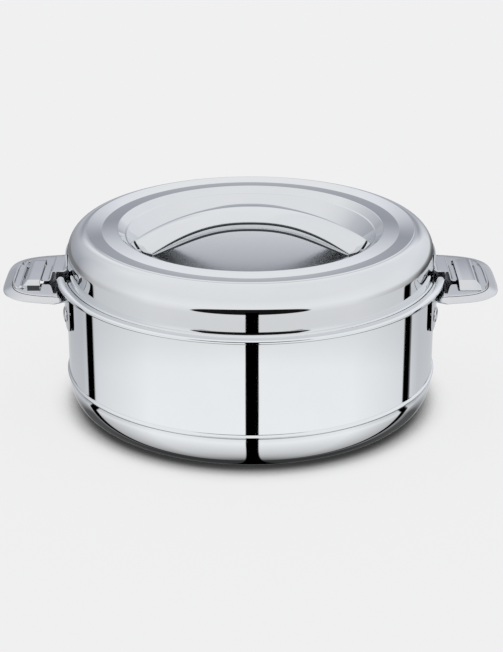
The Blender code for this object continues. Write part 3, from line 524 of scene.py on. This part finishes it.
BRIDGE_HALF, BRIDGE_LEVEL, BRIDGE_CLIMB, BRIDGE_RISE = 0.0222, 0.0172, 0.0052, 0.0035
BRIDGE_LINES = np.linspace(0, BRIDGE_HALF, 23)[1:]


def bridge_surface():
    """The lanced bridge over the left handle's hole, on the pan's own column lines: it climbs in
    an S from the hole's outer edge, runs level, and its sides roll over and drop to the pan."""
    out = np.concatenate([BRIDGE_FAR - BRIDGE_CLIMB * np.linspace(0, 1, 13),
                          np.linspace(0.1344, 0.1271, 7)[1:]])
    climb = np.clip((BRIDGE_FAR - out) / BRIDGE_CLIMB, 0, 1)
    climb = climb * climb * (3 - 2 * climb)
    across = np.concatenate([[0.0001 - BRIDGE_HALF], -BRIDGE_LINES[::-1], [0], BRIDGE_LINES,
                             [BRIDGE_HALF - 0.0001]])
    over = np.clip((np.abs(across) - BRIDGE_LEVEL) / (BRIDGE_HALF - BRIDGE_LEVEL), 0, 1)
    roll = 0.0018 * (1 - np.sqrt(1 - (0.98 * over) ** 2)) / (1 - math.sqrt(1 - 0.98 ** 2))
    roll[[0, -1]] = 0.0041
    height = PAN_TOP + climb[:, None] * (BRIDGE_RISE - roll[None] * climb[:, None])
    shape = height.shape
    surface = np.stack([np.broadcast_to(out[:, None], shape), np.broadcast_to(across, shape),
                        height], -1)
    return surface.reshape(-1, 3), grid_faces(*shape)


def handle_pan(name, points, faces, stands_for):
    """A handle's piece. Painted shade, as near-black steel, goes to the line where panel and
    border meet, between the panel's superellipse and one a little larger, and to the bridge's
    cut edges."""
    pan = make_piece(name, [sheet_shell(points, faces, HANDLE_SHEET)], PRESSED,
                     "body", stands_for)
    x, y, z = np.abs(face_rows(pan, "center")).T
    upright = face_rows(pan, "normal")[:, 2]
    outward = np.maximum(x - PAN_START, 0) / PAN_REACH
    sideways = y / (PAN_HALF * (1 - PAN_TAPER * outward))
    size = (outward ** 4 + sideways ** 4) ** 0.25
    # Painted shade on the crease line and on the bridge's cut edges.
    crease = (size > 1.002) & (size < 1.018) & (upright > 0.5) & (z > 0.0785)
    cut = (x > CUT_NEAR) & (x < 0.1345) & (z > 0.0795) & (np.abs(upright) < 0.2)
    finish_faces(pan, [SHADE_PAINTED_STEEL], crease | cut)


bridge_boxes = [((0.12735, BRIDGE_FAR), (-BRIDGE_HALF, BRIDGE_HALF)),
                ((CUT_NEAR, 0.1274), (-0.0142, 0.0142))]
pan_points, pan_faces = cut_out(pan_surface(BRIDGE_FAR, BRIDGE_LINES), bridge_boxes)
bridge_points, bridge_faces = bridge_surface()
handle_pan("left_handle_pan", np.concatenate([pan_points, bridge_points]) * (-1, -1, 1),
           np.concatenate([pan_faces, bridge_faces[:, ::-1] + len(pan_points)]), "left_handle")
slot_in, slot_out = 0.0215, 0.0231
slot_lines = [0.0060, 0.0120, 0.0170, slot_in, 0.0223, slot_out]
slot_boxes = [((CUT_NEAR, SLOT_FAR), (slot_in, slot_out)),
              ((CUT_NEAR, SLOT_FAR), (-slot_out, -slot_in))]
handle_pan("right_handle_pan", *cut_out(pan_surface(SLOT_FAR, slot_lines), slot_boxes),
           "right_handle")


# Rivets and backing plates. Two domed steel rivets fix each footplate. They pass through the wall
# and a strip of mill-finish steel behind it, where their tails are spread. The tails and strips
# lie in the foam.
RIVET_STEEL = steel("polished_rivet_steel", 0.06, 0.14, 0.00002)
MILL_STEEL = steel("mill_finish_steel", 0.22, 0.40, 0.00003,
                   light=(0.74, 0.75, 0.76), dark=(0.64, 0.65, 0.66))
RIVET_ASIDE, RIVET_HEIGHT, RIVET_SEAT, RIVET_HEAD = 0.0228, 0.0632, 0.1143, 0.0050


def rivet_grid(side, end):
    """A rivet's profile turned about the line through the pot's axis and the rivet. The head is a
    flattened dome, the cosine of its radius share to the power 0.6."""
    share = np.linspace(0, 1, 15)
    dome = np.stack([RIVET_HEAD * share,
                     RIVET_SEAT + 0.0013 * np.cos(math.pi / 2 * share) ** 0.6], 1)
    stem = np.array([(0.0020, RIVET_SEAT), (0.0020, 0.1095), (0.0036, 0.1095), (0.0036, 0.1085),
                     (0.0, 0.1085)])
    loop = np.concatenate([dome, stem])
    steps = 40
    turn = np.linspace(0, math.tau, steps, endpoint=False)[:, None]
    aside = RIVET_ASIDE / WALL_RADIUS
    along = np.array([side * math.sqrt(1 - aside ** 2), end * RIVET_ASIDE / WALL_RADIUS, 0.0])
    level = np.array([-along[1], along[0], 0.0])
    upward = np.array([0.0, 0.0, 1.0])
    points = (loop[None, :, 1, None] * along
              + (loop[:, 0] * np.cos(turn))[..., None] * level
              + (loop[:, 0] * np.sin(turn))[..., None] * upward)
    points[..., 2] += RIVET_HEIGHT
    return points.reshape(-1, 3), grid_faces(steps, len(loop), closed_rows=True)


for side_name, side in (("left", -1), ("right", 1)):
    for end_name, end in (("front", -1), ("back", 1)):
        make_piece(f"{side_name}_{end_name}_rivet_dome", [rivet_grid(side, end)], RIVET_STEEL,
                   "body", f"{side_name}_rivet_{end_name}")
    finish_solid(f"{side_name}_backing_plate", MILL_STEEL)


# Lid cover. One pressing: a plain skirt that drops inside the rim and flares a little where it
# meets it, a full shoulder, a flat ring with a shallow valley, and the round dish that is sunk in
# the middle with a crease near the top of its wall. The dish's floor is satin.
DISH_RADIUS, SKIRT_RADIUS = 0.0560, 0.1112
SATIN_WITHIN, SATIN_ABOVE = 0.0652, 0.0950
POLISHED_LID = steel("polished_steel_lid", 0.02, 0.055, 0.00002,
                     light=(0.765, 0.785, 0.805), dark=(0.73, 0.75, 0.77))
DISH_SATIN = steel("satin_dish_floor", 0.20, 0.23, 0.00001,
                   light=(0.69, 0.71, 0.73), dark=(0.66, 0.68, 0.70))


def cover_path():
    """The cover's upper face from the middle of the dish to the skirt's edge. The dish's floor is
    a hollow parabola, the ring has a shallow valley and ends in a small step down to the
    shoulder, which is a quarter of an ellipse."""
    floor_radius = np.linspace(0, DISH_RADIUS, 15)[:-1]
    floor = np.stack([floor_radius, 0.0955 + 0.0012 * (floor_radius / DISH_RADIUS) ** 2], 1)
    wall = [floor[-1], (0.0660, 0.0971), (0.0752, 0.1080), (0.0761, 0.1081), (0.0804, 0.1118),
            (0.0900, 0.1111), (0.0990, 0.1122), (0.09917, 0.1116), (0.0996, 0.1116)]
    ring = rounded_path(wall, (0.0035, 0.0003, 0.0004, 0.0008, 0.0020, 0.0001, 0.0001), 12)
    shoulder = oval_arc((0.0998, 0.0970), (0.0114, 0.0146), 90, 0, 50)
    skirt = rounded_path([(SKIRT_RADIUS, 0.0920), (SKIRT_RADIUS, 0.0865), (0.11145, 0.0848),
                          (0.1122, 0.0841)], (0.0200, 0.0005))
    return np.concatenate([floor, ring[1:], shoulder, skirt])


cover = make_piece("lid_cover_sheet", [turned_grid(sheet_loop(cover_path(), SHEET), STEPS_AROUND)],
                   POLISHED_LID, "lid", "lid_cover")
face_x, face_y, face_z = face_rows(cover, "center").T
on_dish_floor = (np.hypot(face_x, face_y) < SATIN_WITHIN) & (face_z > SATIN_ABOVE)
finish_faces(cover, [DISH_SATIN], on_dish_floor)


def lid_foam_loop():
    """The foam's section: the cover's profile moved in past the sheet, down to the liner's rim,
    then over the liner, with a pocket for the plug's stem."""
    lowest, pocket = 0.0917, 0.0076
    roof = beside(cover_path(), SHEET + 0.0004)
    roof = roof[roof[:, 1] > lowest]
    roof[0, 0] = 0
    floor = [(0.1092, lowest), (0.1092, 0.0873), (0.0982, 0.0873), (0.0956, 0.0830),
             (pocket, 0.0830), (pocket, 0.0852), (0.0, 0.0852)]
    return np.concatenate([roof, floor])


make_piece("lid_foam_fill", [turned_grid(lid_foam_loop(), 200)], FOAM,
           "lid", "lid_insulation")


# Lid liner and seal. The liner is a satin pan that closes the lid from below: its rim stands up
# inside the skirt, and its middle drops into the bowl's mouth. A flat ring of milky silicone sits
# under its flange and rests on the bowl's ledge.
LINER_STEEL = steel("satin_liner_steel", 0.12, 0.26, 0.00003, rings=0.06)
LINER_SHEET = 0.0006


def liner_path():
    """The liner's outer face from the top of its rim to the filling hole."""
    corners = [(0.1102, 0.0913), (0.1102, 0.0863), (0.0990, 0.0863), (0.0965, 0.0820),
               (FILLING_HOLE, 0.0820)]
    return rounded_path(corners, (0.0010, 0.0012, 0.0015))


make_piece("lid_liner_pan", [turned_grid(sheet_loop(liner_path(), LINER_SHEET), 240)], LINER_STEEL,
           "lid", "lid_liner")
SILICONE, _, seal_shader, _ = mottled_material(
    "milky_seal_silicone", 60.0, 6.0, ((0.70, 0.70, 0.71), (0.80, 0.80, 0.80)), (0.45, 0.65))
seal_shader.inputs["Subsurface Weight"].default_value = 0.3
seal_shader.inputs["Subsurface Radius"].default_value = (0.002, 0.002, 0.002)
seal_in, seal_out, seal_low, seal_top = 0.1004, 0.1042, 0.0842, 0.0860
seal_start = (0.1035, seal_top)
seal_loop = rounded_path([seal_start, (seal_out, seal_top), (seal_out, seal_low),
                          (seal_in, seal_low), (seal_in, seal_top), seal_start],
                         (0.0003, 0.0006, 0.0006, 0.0003), 5)[:-1]
make_piece("lid_seal_ring", [turned_grid(seal_loop, 200)], SILICONE,
           "lid", "lid_seal")


# Strap handle. A band of 0.5 mm sheet, gently convex, bridges the dish. Its long edges are turned
# down and rolled to a groove and a hem, its underside keeps the mill finish, and its ends, cut to
# a curve, are welded to the dish's wall. The groove and the hem are painted shade: rough steel
# near black.
STRAP_SHEET = 0.0005
STRAP_EDGE = rounded_path([(0, 0), (0.0009, 0.0004), (0.0009, 0.0010), (-0.0001, 0.0013),
                           (-0.0001, 0.0022), (0.0008, 0.0025), (0.0008, 0.0050),
                           (-0.0002, 0.0070), (-0.0010, 0.0068)],
                          (0.0006, 0.0003, 0.0002, 0.0002, 0.0002, 0.0006, 0.0004), 4)[1:]


def dish_height(radius):
    """Height of the dish's upper face at a radius, read along the cover's profile."""
    path = cover_path()[:60]
    return np.interp(radius, path[:, 0], path[:, 1])


def strap_surface():
    """The strap's upper face. Lengthwise it is an arch that falls from the middle to the dish with
    the power 2.3 of the length share. Across, it is a parabola that leans a little to the front.
    Its long edges follow STRAP_EDGE, at right angles to the edge's own line."""
    length = np.linspace(-1, 1, 97)[:, None]
    share = np.linspace(-1, 1, 41)[None]
    reach = 0.0702 - 0.01185 * share ** 2 - 0.00135 * share
    across = 0.0126 * share
    along = reach * np.abs(length)
    middle = 0.1231 - 0.0026 * share ** 2 + 0.0012 * share
    landing = dish_height(np.hypot(reach, across)) + 0.0010
    height = middle - (middle - landing) * np.abs(length) ** 2.3
    top = np.stack([np.sign(length) * along, np.broadcast_to(across, height.shape), height], -1)
    ending = 1 - 0.8 * np.abs(length) ** 6
    out, down = STRAP_EDGE[None, :, 0] * ending, STRAP_EDGE[None, :, 1] * ending

    def lip(edge, way):
        lean = np.gradient(edge[:, 2], edge[:, 0])[:, None]
        norm = np.sqrt(1 + lean ** 2)
        return np.stack([edge[:, :1] + down * lean / norm, edge[:, 1:2] + way * out,
                         edge[:, 2:] - down / norm], -1)

    return np.concatenate([lip(top[:, 0], -1)[:, ::-1], top, lip(top[:, -1], 1)], 1)


strap = strap_surface()
strap_faces = grid_faces(*strap.shape[:2])
band = make_piece("strap_band", [sheet_shell(strap.reshape(-1, 3), strap_faces, STRAP_SHEET)],
                  POLISHED_LID, "lid", "lid_strap_handle")
# Painted shade: the groove and the hem of each long edge are rough steel near black. The underside
# keeps the mill finish.
edge_down = 0.5 * (STRAP_EDGE[1:, 1] + STRAP_EDGE[:-1, 1])
edge_painted_shade = ((edge_down > 0.0010) & (edge_down < 0.0023)) | (edge_down > 0.0051)
top_polished = np.zeros(strap.shape[1] - 1 - 2 * len(edge_painted_shade), bool)
row_painted_shade = np.concatenate([edge_painted_shade[::-1], top_polished, edge_painted_shade])
band_finish_and_painted_shade = np.zeros(len(band.data.polygons), np.int32)
band_finish_and_painted_shade[:len(strap_faces)] = np.tile(row_painted_shade, strap.shape[0] - 1)
band_finish_and_painted_shade[len(strap_faces):2 * len(strap_faces)] = 2
finish_faces(band, [SHADE_PAINTED_STEEL, MILL_STEEL], band_finish_and_painted_shade)


# Lid brackets. Two strips of 0.8 mm sheet are welded to the skirt. Each bends out over the rim as
# a tongue and steps down behind it. The left one runs on as a hook under the handle's bridge, and
# the right one stops short, for the lock to slide over. Their undersides are painted shade: rough
# steel near black.
BRACKET_SHEET, TONGUE_TOP, TONGUE_LOW = 0.0008, 0.0874, 0.0815


def bracket_surface(side, end):
    """The bracket's upper face: a rounded path in the plane through the axis, carried across. The
    plate part follows the skirt's curve, R - sqrt(R^2 - y^2), and this fades out with the bend."""
    path = rounded_path([(0.1123, 0.0975), (0.1123, TONGUE_TOP), (0.1205, TONGUE_TOP),
                         (0.1221, TONGUE_LOW), (end, TONGUE_LOW)], (0.0014, 0.0013, 0.0012), 10)
    step = np.cumsum(np.concatenate([[0], np.linalg.norm(np.diff(path, axis=0), axis=1)]))
    even = np.unique(np.concatenate([step, np.linspace(0, step[-1], 40)]))
    path = np.stack([np.interp(even, step, path[:, 0]), np.interp(even, step, path[:, 1])], 1)
    across = 0.0128 * np.linspace(-1, 1, 25)
    upright = np.clip((path[:, 1] - TONGUE_TOP) / 0.0014, 0, 1)[:, None]
    sag = (SKIRT_RADIUS - np.sqrt(SKIRT_RADIUS ** 2 - across ** 2))[None] * upright
    shape = (len(path), len(across))
    return np.stack([side * (path[:, :1] - sag), side * np.broadcast_to(across, shape),
                     np.broadcast_to(path[:, 1:], shape)], -1)


for side_name, side, tongue_end in (("left", -1, 0.1312), ("right", 1, 0.1255)):
    strip = bracket_surface(side, tongue_end)
    strip_faces = grid_faces(*strip.shape[:2])
    strip_parts = [sheet_shell(strip.reshape(-1, 3), strip_faces, BRACKET_SHEET)]
    bracket = make_piece(f"{side_name}_bracket_strip", strip_parts, PRESSED,
                         "lid", f"{side_name}_lid_bracket")
    # Painted shade: each bracket's underside, in the shade under the tongue, is rough steel near
    # black.
    number = np.arange(len(bracket.data.polygons))
    painted_shade_underside = (number >= len(strip_faces)) & (number < 2 * len(strip_faces))
    finish_faces(bracket, [SHADE_PAINTED_STEEL], painted_shade_underside)


# Sliding lock. A clip of 0.4 mm sheet stands on the right handle, level on top with both flanks
# sloping down. Its two legs pass through the handle's slots and a retainer plate, and are spread
# below it. A bowed leaf spring between plate and handle gives it a firm slide.
CLIP_SHEET, CLIP_LOW, CLIP_TOP = 0.0004, 0.0800, 0.0832
LEG_NEAR, LEG_FAR, LEG_FOOT, SPREAD = 0.1295, 0.1325, 0.0749, 1.035


def clip_surface():
    """The clip's upper face: a section of level top and sloping flanks, carried along X. Towards
    the outer end it sinks to the handle as a slope, never below the flanks' lower edge."""
    section = rounded_path([(-0.0265, CLIP_LOW), (-0.0180, CLIP_TOP), (0.0200, CLIP_TOP),
                            (0.0265, CLIP_LOW)], (0.0012, 0.0012), 10)
    out, sink = np.array([(0.1256, 0.00025), (0.1257, 0.0001), (0.1260, 0), (0.1285, 0),
                          (0.1310, 0), (0.1335, 0), (0.1356, 0), (0.1360, 0.0001),
                          (0.1364, 0.0004), (0.1388, 0.0030)]).T
    shape = (len(out), len(section))
    height = np.maximum(section[None, :, 1] - sink[:, None], CLIP_LOW)
    return np.stack([np.broadcast_to(out[:, None], shape),
                     np.broadcast_to(section[:, 0], shape), height], -1)


def leg_block(low, high):
    """A leg: a box given by its two corners, with its lower end drawn in a little as a lead."""
    low, high = np.asarray(low), np.asarray(high)
    share = np.array([[x, y, z] for z in (0, 0.15, 1)
                      for x, y in ((0, 0), (1, 0), (1, 1), (0, 1))], float)
    share[:4, :2] = 0.5 + (share[:4, :2] - 0.5) * 0.8
    ring = grid_faces(3, 4, closed_columns=True)
    ends = np.array([(3, 2, 1, 0), (8, 9, 10, 11)])
    return low + share * (high - low), np.concatenate([ring[:, ::-1], ends])


clip = clip_surface()
clip_parts = [sheet_shell(clip.reshape(-1, 3), grid_faces(*clip.shape[:2]), CLIP_SHEET)]
for near, far in ((-0.0228, -0.0218), (0.0218, 0.0228)):
    clip_parts.append(leg_block((LEG_NEAR, near, LEG_FOOT), (LEG_FAR, far, 0.0813)))
    clip_parts.append(leg_block((LEG_NEAR, min(near, far * SPREAD), LEG_FOOT),
                                (LEG_FAR, max(near * SPREAD, far), 0.0757)))
make_piece("lock_clip", clip_parts, PRESSED, "lock", "lock_slider")
finish_solid("lock_retainer", MILL_STEEL)
finish_solid("lock_spring", MILL_STEEL)


# Studio. A pale floor and a bright even surround. Only mirror reflections see the surround's
# panels: a grey band behind, darker bands to the left and right, a bright ceiling, the dark gap
# at the front edge of the table, and the thin dark joints between panels, as in a light tent.
def pale_floor():
    """A square of matt pale board at the pot's foot, far wider than any view. It glows evenly,
    and ambient occlusion dims the glow where the pot is near: a painted contact shadow, which
    leaves the dark line of contact."""
    half, below = 6.0, -0.0002
    mesh = bpy.data.meshes.new("studio_floor")
    mesh.from_pydata([(-half, -half, below), (half, -half, below), (half, half, below),
                      (-half, half, below)], [], [(0, 1, 2, 3)])
    floor = bpy.data.objects.new("studio_floor", mesh)
    bpy.context.scene.collection.objects.link(floor)
    floor.visible_glossy = False
    material, tree, shader = new_material("pale_board")
    # Painted shadow: the occlusion near the pot sets how much the board glows.
    painted_shadow_nearness = add_node(tree, "AmbientOcclusion", {"Distance": 0.035}, samples=16)
    glow_with_painted_shadow = add_ramp(tree, painted_shadow_nearness.outputs["AO"], [(place, (tone, tone, tone * 1.008))
                    for place, tone in ((0.25, 0.0), (0.33, 0.06), (0.45, 0.26), (0.54, 0.52),
                                        (0.62, 0.70), (0.72, 0.771))])
    feed(tree, shader, {"Base Color": (0.10, 0.10, 0.10, 1.0), "Roughness": 1.0,
                        "Specular IOR Level": 0.0, "Emission Color": glow_with_painted_shadow,
                        "Emission Strength": 1.0})
    mesh.materials.append(material)


pale_floor()


def light_tent():
    """The world by direction. Height above the horizon picks a tone from a ramp for the back, the
    left, the right or the front, and these are mixed by the bearing from the back. Joints darken
    narrow bearings below the horizon, and the gap darkens a bent oval at the front. Mirror rays
    alone see this: other rays get even white, and the camera a pale backdrop."""
    world = bpy.data.worlds.new("light_tent")
    bpy.context.scene.world = world
    world.use_nodes = True
    tree = world.node_tree
    tree.nodes.clear()

    def maths(operation, *values):
        return add_node(tree, "Math", dict(enumerate(values)), operation=operation).outputs["Value"]

    def mixed(factor, first, second, kind="MIX"):
        return add_node(tree, "Mix", {"Factor": factor, "A": first, "B": second},
                        data_type="RGBA", blend_type=kind).outputs["Result"]

    def at(degrees):
        return (degrees + 90) / 180

    def by_height(*stops):
        return add_ramp(tree, rise, [(at(degrees), tone) for degrees, tone in stops])

    def by_bearing(*stops):
        return add_ramp(tree, bearing, [(degrees / 180, tone) for degrees, tone in stops])

    direction = add_node(tree, "TexCoord", {}).outputs["Generated"]
    east, north, up = add_node(tree, "SeparateXYZ", {"Vector": direction}).outputs
    rise = maths("MULTIPLY_ADD", maths("ARCSINE", up), 1 / math.pi, 0.5)
    heading = maths("ARCTAN2", east, north)
    bearing = maths("MULTIPLY", maths("ABSOLUTE", heading), 1 / math.pi)

    back = by_height((-60, 0.04), (-32, 0.10), (-25, 0.64), (-19.5, 0.62), (-18, 0.10),
                     (-15.5, 0.10), (-14, (0.42, 0.43, 0.47)), (-4, (0.42, 0.43, 0.47)),
                     (8, (0.54, 0.55, 0.59)), (12, (0.44, 0.45, 0.49)), (17, (0.37, 0.38, 0.42)),
                     (18, (0.42, 0.43, 0.47)), (19.5, (0.55, 0.56, 0.61)),
                     (21.3, (0.72, 0.73, 0.77)), (24.5, (0.91, 0.92, 0.96)), (28, 0.97),
                     (90, 0.95))
    front = by_height((-90, 0.07), (-73, 0.46), (-60, 0.66), (-43, 0.83), (-26, 1.0),
                      (-23.6, 0.98), (-22.9, 0.965), (-22.2, 0.81), (-21.4, 0.84), (-15, 0.90),
                      (0, 1.0), (30, 0.93), (90, 0.95))
    left = by_height((-60, 0.04), (-32, 0.10), (-25, (0.59, 0.60, 0.62)),
                     (-19, (0.48, 0.49, 0.52)), (-15, 0.22), (-9, 0.22),
                     (-6, (0.37, 0.38, 0.41)), (10, (0.48, 0.49, 0.53)),
                     (30, (0.71, 0.72, 0.75)), (48, 0.97), (90, 0.95))
    right = by_height((-60, 0.04), (-32, 0.10), (-25, (0.63, 0.64, 0.66)),
                      (-19, (0.54, 0.55, 0.58)), (-17, 0.10), (-13, 0.10), (-9, 0.30),
                      (-5, (0.78, 0.80, 0.83)), (20, (0.89, 0.90, 0.93)), (90, 0.95))
    side = mixed(add_ramp(tree, east, [(0.0, 0.0), (0.001, 1.0)]), left, right)
    behind = mixed(by_bearing((13, 0.0), (26, 1.0)), back, side)
    surround = mixed(by_bearing((50, 0.0), (70, 0.55), (115, 1.0)), behind, front)

    signed = maths("MULTIPLY_ADD", heading, 0.5 / math.pi, 0.5)
    side_joints = add_ramp(tree, signed, [((degrees + 360) / 360 - 0.5, tone) for degrees, tone in (
        (-66.2, 1.0), (-65.0, 0.0), (-57.6, 0.0), (-56.4, 1.0),
        (60.9, 1.0), (62.1, 0.0), (68.9, 0.0), (70.1, 1.0))])
    above = by_height((-19, 1.0), (-16, 0.0))
    side_joints = mixed(above, (1.0, 1.0, 1.0, 1.0), side_joints)
    surround = mixed(1.0, surround, side_joints, "MULTIPLY")

    joint_east, joint_flare = 0.0155, -0.032
    off_joint = maths("ABSOLUTE", maths("SUBTRACT", east, joint_east))
    off_joint = maths("MULTIPLY_ADD", up, joint_flare, off_joint)
    in_joint = add_ramp(tree, off_joint, [(0.074, 1.0), (0.080, 0.0)])
    steep, joint_top = -0.707, -0.19
    ahead = maths("MAXIMUM", maths("LESS_THAN", north, 0.0), maths("LESS_THAN", up, steep))
    low = maths("MULTIPLY", ahead, maths("LESS_THAN", up, joint_top))
    middle_joint = maths("SUBTRACT", 1.0, maths("MULTIPLY", low, in_joint))
    surround = mixed(1.0, surround, middle_joint, "MULTIPLY")

    gap_half_width, gap_half_height, gap_middle, gap_bend = 37, 9.8, -9.6, 3.5
    from_front = maths("MULTIPLY", maths("SUBTRACT", 1.0, bearing), 180 / gap_half_width)
    side_square = maths("POWER", from_front, 2.0)
    bent_rise = maths("MULTIPLY_ADD", side_square, gap_bend / 180, rise)
    upward = maths("MULTIPLY", maths("ADD", bent_rise, -at(gap_middle)), 180 / gap_half_height)
    oval = maths("ADD", side_square, maths("POWER", upward, 2.0))
    gap = add_ramp(tree, oval, [(0.88, 0.01), (1.0, 1.0)])
    surround = mixed(1.0, surround, gap, "MULTIPLY")

    rays = add_node(tree, "LightPath", {}).outputs
    even, tent, backdrop = (add_node(tree, "Background", {"Color": tone}).outputs["Background"]
                            for tone in ((1.0, 1.0, 1.0, 1.0), surround,
                                         (0.863, 0.863, 0.871, 1.0)))
    light = add_node(tree, "MixShader", {"Fac": rays["Is Glossy Ray"], 1: even, 2: tent})
    seen = add_node(tree, "MixShader", {
        "Fac": rays["Is Camera Ray"], 1: light.outputs["Shader"], 2: backdrop})
    add_node(tree, "OutputWorld", {"Surface": seen.outputs["Shader"]})


light_tent()
bpy.context.scene.view_settings.view_transform = "Standard"


# Camera. At the height and distance from which the photograph was taken, a little under half a
# metre up and a metre away, looking down about 22 degrees at the middle of the pot.
camera = bpy.data.objects.new("camera", bpy.data.cameras.new("camera"))
bpy.context.scene.collection.objects.link(camera)
camera.data.sensor_width = 36.0
camera.data.lens = 99.4
camera.location = (0.0006, -1.0357, 0.4629)
camera.rotation_euler = (math.radians(90 - 21.92), 0.0, 0.0)
bpy.context.scene.camera = camera
